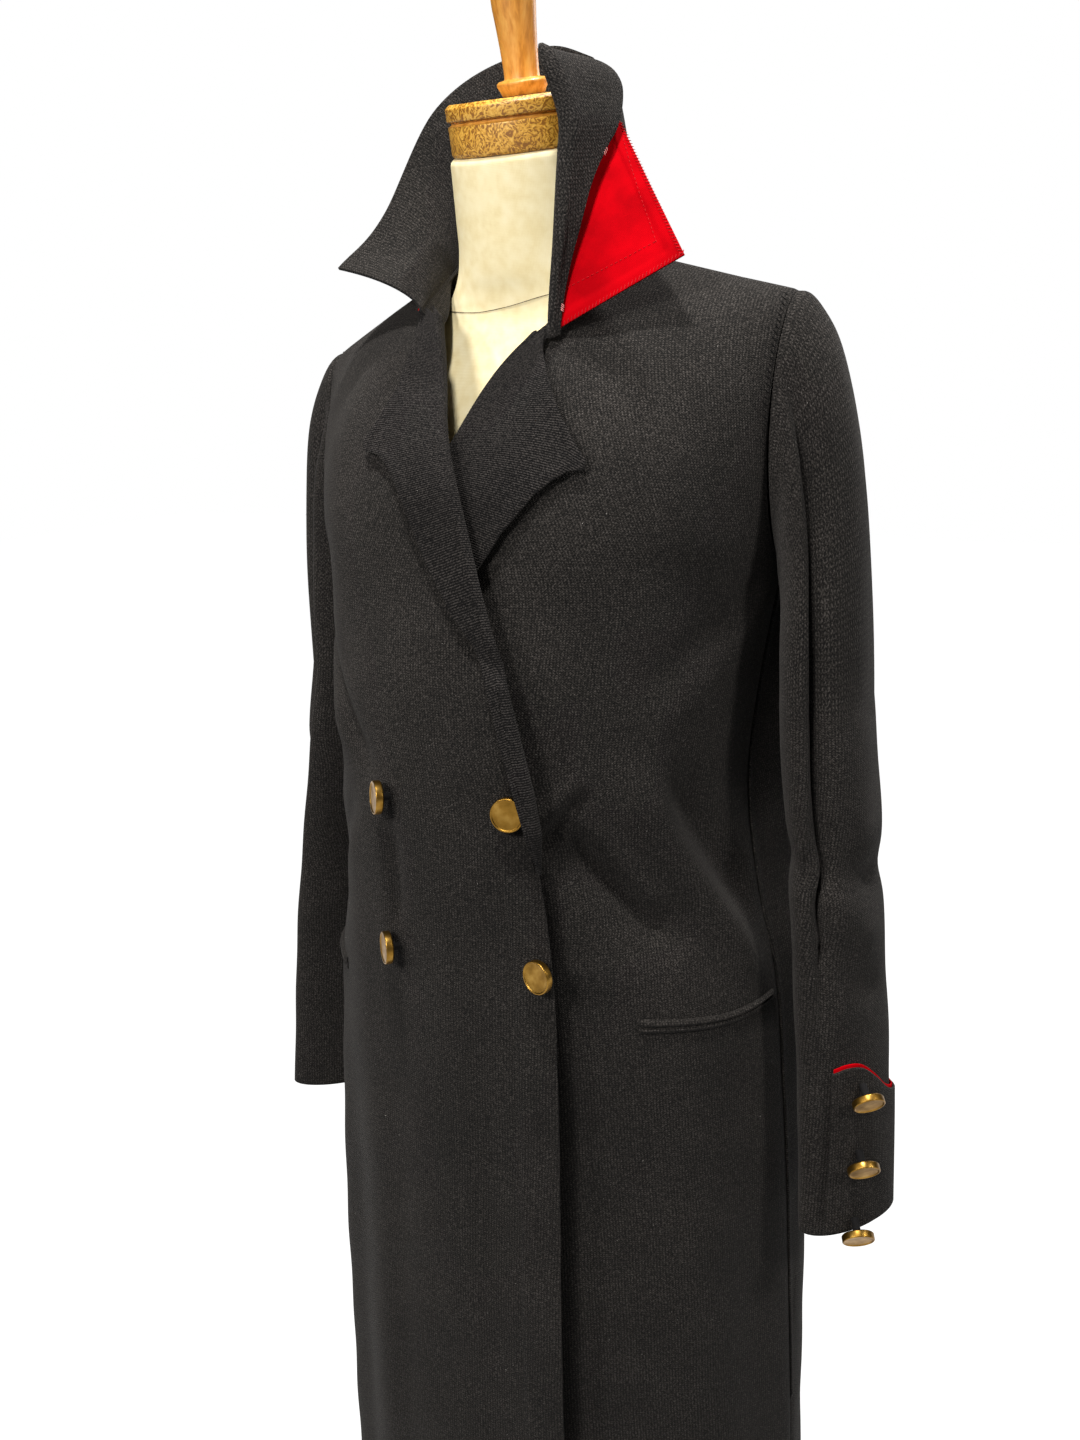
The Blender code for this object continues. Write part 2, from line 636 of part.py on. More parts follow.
def wing_normal(table, side, part, rise):
    def surface(u, v):
        return wing_point(table, side, u, v)

    part = np.clip(part, 0.002, 0.998)
    rise = np.clip(rise, 0.02, 0.998)
    step = 1e-4
    forward = surface(part + step, rise) - surface(part - step, rise)
    upward = surface(part, rise + step) - surface(part, rise - step)
    return side * unit(np.cross(upward, forward))


def collar_pieces():
    parts, rows = np.array(COLLAR_PARTS), np.array(COLLAR_ROWS)
    part, rise = np.meshgrid(parts, rows)
    right = wing_point(OPEN_WING, -1.0, part, rise)
    left = wing_point(UPRIGHT_WING, 1.0, part, rise)

    run = np.linalg.norm(neck_point(1.0, np.array(1.0)) - neck_point(1.0, np.array(0.7))) / 0.3
    width = along(TURNBACK, "width", rows)
    ends = np.ones_like(rows)
    normal = wing_normal(UPRIGHT_WING, 1.0, ends, rows)
    ahead = unit(left[:, -1] - wing_point(UPRIGHT_WING, 1.0, ends - 0.05, rows))
    closing = np.sqrt(1.0 - np.clip((rows - 0.84) / 0.17, 0.0, 0.92) ** 2)
    spread = TURNBACK_FOLD * (0.45 + 0.55 * ease(rows / 0.4)) * closing
    turned = []
    for step in range(1, FOLD_STEPS):
        angle = pi * step / FOLD_STEPS
        way = (1.0 - cos(angle)) * normal + sin(angle) * ahead
        turned.append(left[:, -1] + spread[:, None] * way)
    for back in (0.0, 0.3, 0.65, 1.0):
        place = 1.0 - back * width / run
        out = 2.0 * spread * (1.0 + 0.25 * back)
        turned.append(wing_point(UPRIGHT_WING, 1.0, place, rows)
                      + out[:, None] * wing_normal(UPRIGHT_WING, 1.0, place, rows))
    grid = np.concatenate([right[:, ::-1], left[:, 1:], np.stack(turned, 1)], axis=1)
    sheet("collar", grid, CLOTH, BLACK_KNIT)

    part, rise = np.meshgrid(parts[parts >= RED_RIGHT_FROM], rows)
    red = wing_point(OPEN_WING, -1.0, part, rise) + FACING_OUT * wing_normal(OPEN_WING, -1.0, part, rise)
    sheet("collar_facing_right", red, FACING, RED_SATIN)

    rows = np.linspace(RED_RISE_LOW, RED_RISE_HIGH, RED_ROWS)
    place = 1.0 - (along(TURNBACK, "width", rows) + RED_TUCK) / run
    inner = wing_point(UPRIGHT_WING, 1.0, place, rows)
    inner = inner + RED_LIFT * wing_normal(UPRIGHT_WING, 1.0, place, rows)
    far_place = place[-1] - RED_TOP_LENGTH / run
    far = wing_point(UPRIGHT_WING, 1.0, far_place, rows[-1])
    far = far + 2.0 * RED_LIFT * wing_normal(UPRIGHT_WING, 1.0, far_place, rows[-1])
    climb = np.linspace(0.0, 1.0, RED_ROWS)[:, None]
    outer = (1.0 - climb) * np.array(RED_POINT) + climb * far
    across = np.array(RED_ACROSS)[None, :, None]
    red = (1.0 - across) * inner[:, None] + across * outer[:, None]
    sheet("collar_facing_left", red, FACING, RED_SATIN)


def front_at(side, x, height):
    """Share of a front's row at a sideways distance, found by halving."""
    low, high = 0.0, 1.0
    for _ in range(40):
        share = 0.5 * (low + high)
        if side * float(front_point(side, share, height)[0]) < side * x:
            low = share
        else:
            high = share
    return share


def front_normal(side, share, height):
    def surface(u, v):
        return front_point(side, u, v)

    return surface_normal(surface, np.asarray(share, float), np.asarray(height, float),
                          np.array([0.5 * side, -1.0, 0.0]))


def pocket_piece(name, side):
    """Welt of a slanted pocket, made from the front's own points moved out."""
    rows = []
    for rise in (0.0, 0.5, 1.0):
        line = []
        for way in np.linspace(0.0, 1.0, 12):
            height = along(POCKET, "height", way) + WELT_HEIGHT * (rise - 0.5) * (1.0 - 0.45 * way)
            share = along(POCKET, "share", way)
            out = CLOTH / 2.0 + SEAM + WELT / 2.0
            line.append(front_point(side, share, height) + out * front_normal(side, share, height))
        rows.append(line)
    return sheet(name, np.array(rows), WELT, BLACK_KNIT)


def turned(name, profile, made_of, segments):
    """Turned solid: (radius, height) pairs from the axis at the foot to the axis at the top."""
    vertices, faces, rings = [], [], []
    for radius, height in profile:
        if radius == 0.0:
            rings.append([len(vertices)])
            vertices.append((0.0, 0.0, height))
            continue
        rings.append(list(range(len(vertices), len(vertices) + segments)))
        for k in range(segments):
            turn = 2.0 * pi * k / segments
            vertices.append((radius * cos(turn), radius * sin(turn), height))
    for low, high in zip(rings, rings[1:]):
        for k in range(segments):
            after = (k + 1) % segments
            if len(low) == 1:
                faces.append((low[0], high[after], high[k]))
            elif len(high) == 1:
                faces.append((low[k], low[after], high[0]))
            else:
                faces.append((low[k], low[after], high[after], high[k]))
    mesh = bpy.data.meshes.new(name)
    mesh.from_pydata(vertices, [], faces)
    mesh.materials.append(made_of)
    mesh.shade_smooth()
    piece = bpy.data.objects.new(name, mesh)
    COAT.objects.link(piece)
    return piece


def button_piece(name, place, axis, cloth_normal, clear):
    """Brass button: a disc with a raised rim, on a shank that ends a seam's width above the cloth.

    clear is the height of the disc's centre above the cloth's face.
    """
    rim, dish = 0.0016, 0.0009
    lean = float(np.dot(axis, cloth_normal))
    foot = -(clear - SEAM - SHANK_RADIUS * (1.0 - lean * lean) ** 0.5) / lean
    low, high = -BUTTON_DEPTH / 2.0, BUTTON_DEPTH / 2.0
    wide, round_off = BUTTON_RADIUS, 0.0008
    profile = ((0.0, foot), (SHANK_RADIUS, foot), (SHANK_RADIUS, low), (wide - round_off, low),
               (wide, low + round_off), (wide, high - round_off), (wide - round_off, high),
               (wide - rim, high), (wide - rim - 0.0006, high - dish), (0.0, high - dish))
    piece = turned(name, profile, BRASS, 18)
    turn = Vector((0, 0, 1)).rotation_difference(Vector(axis))
    piece.matrix_world = Matrix.Translation(place) @ turn.to_matrix().to_4x4()
    return piece


def aim(yaw, pitch):
    """Direction from a yaw about Z, 0 to the front, and a pitch above the level."""
    yaw, pitch = radians(yaw), radians(pitch)
    return np.array([sin(yaw) * cos(pitch), -cos(yaw) * cos(pitch), sin(pitch)])


def buttons(flap_top):
    for row in FRONT_BUTTONS:
        share = front_at(-1, row.out, row.height)
        out = front_normal(-1, share, row.height)
        place = front_point(-1, share, row.height) + row.stand * out
        button_piece(row.name, place, aim(row.yaw, row.pitch), out, row.stand - CLOTH / 2.0)
    for label, side in (("left", 1.0), ("right", -1.0)):
        for level, height in CUFF_BUTTONS:
            turn = np.array(radians(CUFF_TURN))
            out = sleeve_normal(turn, np.array(height), side)
            place = hang_ring(turn, np.array(height), side) + (flap_top + CUFF_STAND) * out
            yaw = np.degrees(np.arctan2(out[0], -out[1])) - side * CUFF_YAW
            axis = aim(yaw, CUFF_PITCH)
            button_piece("button_cuff_" + level + "_" + label, place, axis, out, CUFF_STAND)


Torso = namedtuple("Torso", "height half_width front back centre")
FORM = (
    Torso(0.800, 0.146, 0.102, 0.104, 0.000),
    Torso(0.812, 0.154, 0.108, 0.110, 0.000),
    Torso(0.870, 0.160, 0.112, 0.116, 0.000),
    Torso(0.950, 0.145, 0.105, 0.108, 0.000),
    Torso(1.040, 0.122, 0.095, 0.092, 0.002),
    Torso(1.120, 0.138, 0.116, 0.096, 0.006),
    Torso(1.200, 0.152, 0.124, 0.104, 0.012),
    Torso(1.270, 0.156, 0.104, 0.106, 0.016),
    Torso(1.320, 0.144, 0.084, 0.092, 0.018),
    Torso(1.350, 0.118, 0.068, 0.070, 0.016),
    Torso(1.372, 0.090, 0.058, 0.056, 0.012),
    Torso(1.386, 0.074, 0.056, 0.052, 0.008),
    Torso(1.398, 0.0650, 0.0550, 0.0510, 0.004),
    Torso(1.415, 0.0595, 0.0540, 0.0510, 0.000),
    Torso(1.440, 0.0580, 0.0535, 0.0515, -0.0040),
    Torso(1.483, 0.0570, 0.0535, 0.0515, -0.0100),
)


def torso_piece():
    """Padded form: rings of one height up to the shoulders, tilting with the neck above them."""
    segments = 32
    heights = np.concatenate([np.linspace(0.8, 0.812, 2), np.linspace(0.85, 1.31, 11),
                              np.linspace(1.335, 1.415, 8), np.linspace(1.436, NECK_TOP, 3)])
    turn = np.linspace(0.0, 2.0 * pi, segments, endpoint=False)
    vertices, faces = [], []
    for height in heights:
        depth = np.where(np.cos(turn) > 0.0, along(FORM, "front", height), along(FORM, "back", height))
        x = along(FORM, "half_width", height) * np.sin(turn)
        dy = -depth * np.cos(turn)
        tilt = np.tan(NECK_LEAN) * float(ease((height - 1.39) / (NECK_TOP - 1.39)))
        vertices.extend(zip(x, along(FORM, "centre", height) + dy, height + tilt * dy))
    rings = len(heights)
    for r in range(rings - 1):
        for k in range(segments):
            after = (k + 1) % segments
            faces.append((r * segments + k, r * segments + after,
                          (r + 1) * segments + after, (r + 1) * segments + k))
    faces.append(tuple(reversed(range(segments))))
    faces.append(tuple(range((rings - 1) * segments, rings * segments)))
    mesh = bpy.data.meshes.new("form_torso")
    mesh.from_pydata([tuple(map(float, v)) for v in vertices], [], faces)
    mesh.materials.append(LINEN)
    mesh.shade_smooth()
    piece = bpy.data.objects.new("form_torso", mesh)
    COAT.objects.link(piece)
    return piece


def form_pieces():
    torso_piece()
    lean = Matrix.Rotation(NECK_LEAN, 4, 'X')
    neck = Vector((0.0, NECK_FORE, NECK_TOP))
    axis = lean @ Vector((0.0, 0.0, 1.0))

    radius, thick = 0.0552, 0.0340
    cap = turned("form_neck_cap", (
        (0.0, 0.0), (radius - 0.0022, 0.0), (radius - 0.0008, 0.0020),
        (radius - 0.0006, 0.0200), (radius - 0.0030, 0.0210), (radius - 0.0030, 0.0224), (radius, 0.0234),
        (radius, 0.0314), (radius - 0.0030, thick), (0.0, thick)), WOOD, 32)
    cap.matrix_world = Matrix.Translation(neck + axis * SEAM) @ lean

    finial = turned("form_finial", (
        (0.0, 0.0), (0.0145, 0.0), (0.0158, 0.0030), (0.0178, 0.0068), (0.0178, 0.0084), (0.0160, 0.0098),
        (0.0122, 0.0104), (0.0122, 0.0160), (0.0128, 0.0300), (0.0140, 0.0450), (0.0152, 0.0600),
        (0.0150, 0.0700), (0.0128, 0.0780), (0.0084, 0.0832), (0.0, 0.0850)), WOOD, 20)
    finial.matrix_world = Matrix.Translation(neck + axis * (2.0 * SEAM + thick)) @ lean

    turned("stand_base", (
        (0.0, 0.0), (BASE_RADIUS - 0.003, 0.0), (BASE_RADIUS, 0.003), (BASE_RADIUS, 0.018),
        (BASE_RADIUS - 0.006, 0.026), (BASE_RADIUS - 0.022, BASE_HEIGHT), (0.0, BASE_HEIGHT)), WOOD, 48)
    foot, head = BASE_HEIGHT + SEAM, FORM_BOTTOM - SEAM
    turned("stand_pole", ((0.0, foot), (POLE_RADIUS, foot), (POLE_RADIUS, head), (0.0, head)), WOOD, 24)


form_pieces()
back_piece()
front_piece("front_left", 1)
front_piece("front_right", -1)
sleeve_piece("sleeve_left", 1.0)
sleeve_piece("sleeve_right", -1.0)
collar_pieces()
pocket_piece("pocket_welt_left", 1)
pocket_piece("pocket_welt_right", -1)
flap_surface = flap_pieces("left", 1.0)
flap_pieces("right", -1.0)
buttons(flap_surface)
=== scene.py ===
# %% [markdown]
# # A knit coat on its dress form
#
# A long double-breasted coat of black wool knit hangs open at the neck on a cream dress form with a turned
# wooden cap.  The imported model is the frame: it gives each solid's name, body and place in metres, with the
# floor at z = 0, the front towards -Y and the wearer's left on +X.  Every solid is made again here.  A cloth
# piece is a thin shell on the same surface, with the creases, seams and edges that a plain solid leaves out.
# The buttons, the form and its stand are spun again with more sides.

# %% Load the frame
from collections import namedtuple
from math import cos, pi, radians, sin

import bmesh
import bpy
import numpy as np
from mathutils import Matrix, Vector


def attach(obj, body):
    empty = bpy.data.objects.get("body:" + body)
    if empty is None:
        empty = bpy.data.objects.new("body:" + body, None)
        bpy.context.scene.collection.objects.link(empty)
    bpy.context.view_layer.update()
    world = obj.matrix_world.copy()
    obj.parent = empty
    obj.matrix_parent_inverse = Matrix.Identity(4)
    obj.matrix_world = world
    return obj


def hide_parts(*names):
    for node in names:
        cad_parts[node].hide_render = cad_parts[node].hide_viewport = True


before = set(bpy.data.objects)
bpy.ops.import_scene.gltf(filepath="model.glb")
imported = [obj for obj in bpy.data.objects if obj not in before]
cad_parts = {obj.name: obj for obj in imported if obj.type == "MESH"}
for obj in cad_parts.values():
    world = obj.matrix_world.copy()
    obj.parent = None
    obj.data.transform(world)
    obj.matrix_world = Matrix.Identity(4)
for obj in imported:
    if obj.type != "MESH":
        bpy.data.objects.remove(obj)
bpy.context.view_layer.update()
print(len(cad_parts), "solids in the frame")

# %% [markdown]
# ## Reading short tables
#
# A pattern cutter writes a garment down as a few measured sections and lets the cloth run smoothly between
# them.  The tables below do the same: each row is one section with named columns.  One helper reads a column
# as a smooth curve, one reads it as straight runs, and one turns a share from 0 to 1 into a soft start and
# stop.

# %% Table helpers
CLOTH = 0.0022            # thickness of the doubled knit
FACING = 0.0012           # thickness of the red facing
HEM, BREAK, UNDERARM, GORGE = 0.30, 1.010, 1.200, 1.372


def along(table, name, at):
    """Smooth value of a named column at a place in the table's first column."""
    keys = np.array([row[0] for row in table])
    values = np.array([getattr(row, name) for row in table])
    slopes = np.gradient(values, keys)
    at = np.clip(at, keys[0], keys[-1])
    low = np.clip(np.searchsorted(keys, at) - 1, 0, len(keys) - 2)
    step = keys[low + 1] - keys[low]
    t = (at - keys[low]) / step
    rise = t * t * (3.0 - 2.0 * t)
    return ((1.0 - rise) * values[low] + rise * values[low + 1]
            + (t ** 3 - 2.0 * t ** 2 + t) * step * slopes[low]
            + (t ** 3 - t ** 2) * step * slopes[low + 1])


def chart(columns, *rows):
    """Table whose rows have named columns."""
    row_kind = namedtuple("Row", columns)
    return tuple(row_kind(*row) for row in rows)


def same_shape(*values):
    return np.broadcast_arrays(*(np.asarray(value, float) for value in values))


def xyz(x, y, z):
    return np.stack(np.broadcast_arrays(x, y, z), -1)


def straight(table, name, at):
    """Value of a named column with straight runs between the rows."""
    return np.interp(at, [row[0] for row in table], [getattr(row, name) for row in table])


def ease(value):
    value = np.clip(value, 0.0, 1.0)
    return value * value * (3.0 - 2.0 * value)


def unit(vectors):
    return vectors / np.linalg.norm(vectors, axis=-1, keepdims=True)


def normal_on(surface, u, v, hint, step=1e-3):
    """Unit normal of a surface of two shares, on the side that the hint vector points to."""
    along_u = surface(u + step, v) - surface(u - step, v)
    along_v = surface(u, v + step) - surface(u, v - step)
    normal = unit(np.cross(along_u, along_v))
    facing = np.sum(normal * hint, axis=-1, keepdims=True)
    return np.where(facing < 0.0, -normal, normal)


def grid_normals(points, hint):
    """Unit normals of a grid of points, on the side that the hint vector points to."""
    normal = unit(np.cross(np.gradient(points, axis=1), np.gradient(points, axis=0)))
    return np.where(np.sum(normal * hint, axis=-1, keepdims=True) < 0.0, -normal, normal)


print("coat from", HEM, "m at the hem to", GORGE, "m at the gorge")

# %% [markdown]
# ## The body of the coat
#
# Below the underarm the coat is a tube with an oval section that narrows at the waist, where the back hangs
# loose of the oval.  Above it, front and back bend over to the shoulders round two armholes.  The right
# shoulder hangs 30 mm lower than the left, and the left front hangs 14 mm lower at the neck, so both tables
# and helpers carry a side: +1 is the wearer's left.

# %% Body sections and armholes
BODY = chart(
    "height half_width front back centre loose",
    (0.30, 0.205, 0.147, 0.147, 0.000, 0.000),
    (0.60, 0.198, 0.147, 0.147, 0.000, 0.006),
    (0.80, 0.190, 0.147, 0.147, 0.000, 0.018),
    (0.90, 0.182, 0.149, 0.147, 0.000, 0.027),
    (0.96, 0.168, 0.154, 0.146, 0.002, 0.033),
    (1.05, 0.158, 0.160, 0.142, 0.005, 0.038),
    (1.12, 0.164, 0.164, 0.136, 0.012, 0.033),
    (1.20, 0.176, 0.162, 0.128, 0.022, 0.010),
)
LOOSE_OUT, LOOSE_BACK = 0.86, 0.51      # way in which the loose back stands off the oval
ARM_OUT, ARM_CROWN = 0.176, 0.011       # armhole from the middle, and more at the shoulder
ARM_MIDDLE, ARM_LEAN, ARM_DEPTH = 0.0185, 0.0035, 0.036
ARM_HEIGHT, ARM_RISE = 1.2905, 0.0905
SHOULDER_DROOP, NECK_FALL, CHEST_EASE = 0.030, 0.014, 1.7
NECK_SHARE, SHOULDER_SHARE = 0.36, 0.64   # parts of a panel's top edge at the neck and along the shoulder
SIDE_TURN = pi / 2.0 - 0.0012   # the panels stop just short of each other at the side seam
UNDERARM_REACH, UNDERARM_SPREAD = 0.013, 0.060
UNDERARM_WEIGHTS = ((1 / 9, -2), (2 / 9, -1), (3 / 9, 0), (2 / 9, 1), (1 / 9, 2))


def body_point(turn, height):
    """Point on the tube of the coat; turn is 0 at centre front and 90 degrees at the left side."""
    depth = np.where(np.cos(turn) > 0.0, along(BODY, "front", height), along(BODY, "back", height))
    behind = np.clip((np.abs(turn) - pi / 2.0) / (pi / 2.0), 0.0, 1.0)
    loose = along(BODY, "loose", height) * np.sin(pi * behind ** 0.7) ** 2
    x = along(BODY, "half_width", height) * np.sin(turn) + LOOSE_OUT * loose * np.sign(turn)
    y = along(BODY, "centre", height) - depth * np.cos(turn) + LOOSE_BACK * loose
    return xyz(x, y, height)


def armhole(turn, side):
    """Armhole ring; turn is 0 at the shoulder, 90 degrees in front and 180 at the underarm."""
    crown = ((1.0 + np.cos(turn)) / 2.0) ** 2
    x = ARM_OUT + ARM_CROWN * crown
    y = ARM_MIDDLE - ARM_LEAN * np.cos(turn) - ARM_DEPTH * np.sin(turn)
    z = ARM_HEIGHT + ARM_RISE * np.cos(turn) - np.where(side < 0.0, SHOULDER_DROOP, 0.0) * crown
    return xyz(side * x, y, z)


def droop(side, share):
    along_shoulder = np.clip((share - NECK_SHARE) / SHOULDER_SHARE, 0.0, 1.0)
    return np.where(side < 0.0, SHOULDER_DROOP, 0.0) * along_shoulder


def fall(side, share):
    return np.where(side > 0.0, NECK_FALL, 0.0) * (1.0 - ease(share / NECK_SHARE))


def blend_patch(share, rise, low, top, inner, outer):
    """Surface between four edges, rising upright before it leans to its top edge."""
    lean = np.stack([rise ** CHEST_EASE, rise ** CHEST_EASE, rise], -1)
    share = share[..., None]
    inner_line = (1.0 - lean) * inner[0] + lean * inner[1]
    outer_line = (1.0 - lean) * outer[0] + lean * outer[1]
    return ((1.0 - lean) * low + lean * top
            + (1.0 - share) * (inner[2] - inner_line) + share * (outer[2] - outer_line))


def over_underarm(surface, height):
    """Mean of a surface a little below and above each height, which eases its turn at the underarm line."""
    reach = UNDERARM_REACH * (1.0 - ease(np.abs(height - UNDERARM) / UNDERARM_SPREAD))
    return sum(weight * surface(height + step * reach) for weight, step in UNDERARM_WEIGHTS)


print("waist", round(2000 * float(along(BODY, "half_width", 1.05))), "mm across")

# %% [markdown]
# ## The two fronts
#
# A front is a patch between its free edge and the side seam.  Its place across is a share, 0 at the edge or
# roll line and 1 at the side, and its height is taken at the edge, so a crease can be placed by two numbers
# that a tailor could chalk on the cloth.  The right front lies over the left one and lifts off it along the
# edge.

# %% Surface of the fronts
EDGE = chart(
    "height across lift",
    (0.30, 0.078, 0.013), (0.50, 0.078, 0.013), (0.70, 0.078, 0.011), (0.85, 0.079, 0.008),
    (0.93, 0.078, 0.006), (1.01, 0.071, 0.003), (1.08, 0.061, 0.001), (1.14, 0.049, 0.000),
    (1.20, 0.031, 0.000), (1.272, 0.008, 0.000), (1.305, -0.006, 0.000), (1.340, -0.020, 0.000),
    (1.372, -0.037, 0.000),
)
CHEST = chart(
    "height fore",
    (1.200, -0.1366), (1.272, -0.1250), (1.305, -0.1140), (1.340, -0.0960), (1.372, -0.0740),
)
OVER = chart(
    "height gap",
    (0.30, 0.011), (0.90, 0.011), (1.05, 0.014), (1.22, 0.016), (1.28, 0.015), (1.33, 0.005),
    (1.372, 0.000),
)
OVER_FROM, OVER_FULL, LIFT_REACH = -0.150, -0.085, 0.065
FRONT_TOP = chart(
    "part out fore height",
    (0.00, 0.037, -0.0740, 1.372), (0.09, 0.054, -0.0585, 1.3810), (0.20, 0.0635, -0.0320, 1.3940),
    (0.36, 0.070, 0.0078, 1.412), (1.00, 0.187, 0.0150, 1.381),
)


def stand_off(point, height):
    """Outward shift of the top front over the under front, and the lift of its free edge."""
    x = point[..., 0]
    edge = along(EDGE, "across", height)
    gap = along(OVER, "gap", height) * ease((x - OVER_FROM) / (OVER_FULL - OVER_FROM))
    gap = gap + along(EDGE, "lift", height) * ease((x - edge + LIFT_REACH) / LIFT_REACH)
    outward = unit(np.stack([0.35 * x / 0.18, np.full_like(x, -1.0), np.zeros_like(x)], -1))
    return gap[..., None] * outward


def front_point(side, share, height):
    share, height = same_shape(share, height)
    level = np.minimum(height, UNDERARM)
    across = -side * along(EDGE, "across", level)
    inner_turn = np.arcsin(across / along(BODY, "half_width", level))
    turn = inner_turn + share * (side * SIDE_TURN - inner_turn)
    low = body_point(turn, level)
    rise = np.clip((height - UNDERARM) / (GORGE - UNDERARM), 0.0, 1.0)
    top = np.stack([side * straight(FRONT_TOP, "out", share), straight(FRONT_TOP, "fore", share),
                    straight(FRONT_TOP, "height", share) - droop(side, share) - fall(side, share)], -1)
    upper = np.maximum(height, UNDERARM)
    roll = np.stack([-side * along(EDGE, "across", upper), along(CHEST, "fore", upper),
                     upper - fall(side, 0.0) * rise], -1)
    start = np.array([-side * along(EDGE, "across", UNDERARM), CHEST[0].fore, UNDERARM])
    end = np.array([side * FRONT_TOP[0].out, FRONT_TOP[0].fore, FRONT_TOP[0].height - fall(side, 0.0)])
    arm = armhole(pi * (1.0 - rise), side)
    arm_ends = armhole(np.array([pi, 0.0]), side)
    high = blend_patch(share, rise, low, top, (start, end, roll), (arm_ends[0], arm_ends[1], arm))
    point = np.where((height > UNDERARM)[..., None], high, low)
    return point + stand_off(point, height) if side < 0 else point


def front_base(side, share, height):
    """Front with the turn at the underarm line eased over a few centimetres."""
    share, height = same_shape(share, height)
    return over_underarm(lambda level: front_point(side, share, level), height)


def row_length(side, height):
    """Length of cloth along each row of a front."""
    line = front_point(side, np.linspace(0.0, 1.0, 40)[:, None], np.atleast_1d(height)[None, :])
    return np.sum(np.linalg.norm(np.diff(line, axis=0), axis=-1), axis=0)


print("front at the hip is", np.round(row_length(1, 0.9), 3), "m wide")

# %% [markdown]
# ## The back, the sleeves and the collar
#
# The back closes the tube and bends over to the shoulder seams.  A sleeve starts on the armhole ring, rounds
# over the shoulder and hangs as a flattened tube with one deep fold down its front.  The collar stands on the
# neck line: the right wing falls open, the left one stands up and its front edge is turned back to show the
# red facing.

# %% Surface of the back
BACK_TOP = chart(
    "part out fore height",
    (0.00, 0.000, 0.0740, 1.425), (0.10, 0.024, 0.0690, 1.4245), (0.20, 0.046, 0.0545, 1.4220),
    (0.28, 0.061, 0.0340, 1.4175), (0.36, 0.070, 0.0078, 1.412), (1.00, 0.187, 0.0150, 1.381),
)
BACK_LINE = chart(
    "height aft",
    (1.200, 0.150), (1.280, 0.149), (1.350, 0.130), (1.400, 0.100), (1.425, 0.074),
)


def back_point(share, row):
    """Point of the back; row is a height below the underarm, or 2 plus the part of the way to the top."""
    share, row = same_shape(share, row)
    side, part = np.where(share < 0.0, -1.0, 1.0), np.abs(share)
    raised = row >= 2.0
    low = body_point(pi - part * SIDE_TURN, np.where(raised, UNDERARM, row))
    rise = np.where(raised, row - 2.0, 0.0)
    top = np.stack([straight(BACK_TOP, "out", part), straight(BACK_TOP, "fore", part),
                    straight(BACK_TOP, "height", part) - droop(side, part)], -1)
    spine_height = UNDERARM + rise * (BACK_TOP[0].height - UNDERARM)
    spine = np.stack([np.zeros_like(rise), along(BACK_LINE, "aft", spine_height), spine_height], -1)
    start = np.array([0.0, BACK_LINE[0].aft, UNDERARM])
    end = np.array([0.0, BACK_TOP[0].fore, BACK_TOP[0].height])
    arm = armhole(pi * (1.0 + rise), side)
    arm_low = armhole(np.full_like(rise, pi), side)
    arm_high = armhole(np.full_like(rise, 2.0 * pi), side)
    low[..., 0] *= side
    top[..., 0] *= side
    high = blend_patch(part, rise, low, top, (start, end, spine), (arm_low, arm_high, arm))
    return np.where(raised[..., None], high, low)


print("back is", np.round(2 * float(back_point(1.0, 1.2)[0]), 3), "m across at the underarm")

# %% Surface of the sleeves
HANG = chart(
    "height out fore thick wide turn_left turn_right valley",
    (0.709, 0.239, 0.002, 0.0180, 0.0400, 30.0, -46.0, 0.000),
    (0.800, 0.2335, 0.013, 0.0210, 0.0440, 22.0, -36.0, 0.000),
    (0.900, 0.2260, 0.021, 0.0240, 0.0490, 13.0, -22.0, 0.006),
    (1.000, 0.2165, 0.028, 0.0270, 0.0545, 6.0, -9.0, 0.019),
    (1.100, 0.2065, 0.034, 0.0275, 0.0600, 0.0, 0.0, 0.021),
)
VALLEY_TURN, VALLEY_SPREAD = 64.0, 8.5
CUFF, ELBOW_TOP = HANG[0].height, HANG[-1].height
SLEEVE_GAP = 0.0006       # start of the sleeve from the armhole, before the seam is tucked in


def hang_ring(turn, height, side):
    """Ring of the hanging sleeve; turn is 0 on the outer face and 90 degrees at the front fold."""
    swing = np.radians(along(HANG, "turn_left" if side > 0 else "turn_right", height))
    off = (np.degrees(turn) - VALLEY_TURN) / VALLEY_SPREAD
    dent = along(HANG, "valley", height) * np.exp(-0.5 * off ** 2)
    thick, wide = along(HANG, "thick", height), along(HANG, "wide", height)
    inward = unit(np.stack(np.broadcast_arrays(np.cos(turn) / thick, -np.sin(turn) / wide), -1))
    outward = thick * np.cos(turn) - dent * inward[..., 0]
    backward = -wide * np.sin(turn) - dent * inward[..., 1]
    x = along(HANG, "out", height) + outward * np.cos(swing) + backward * np.sin(swing)
    y = along(HANG, "fore", height) - outward * np.sin(swing) + backward * np.cos(swing)
    return xyz(side * x, y, height)


def hang_middle(height, side):
    """Middle of the hanging sleeve at a height."""
    return np.stack([side * along(HANG, "out", height), along(HANG, "fore", height), height], -1)


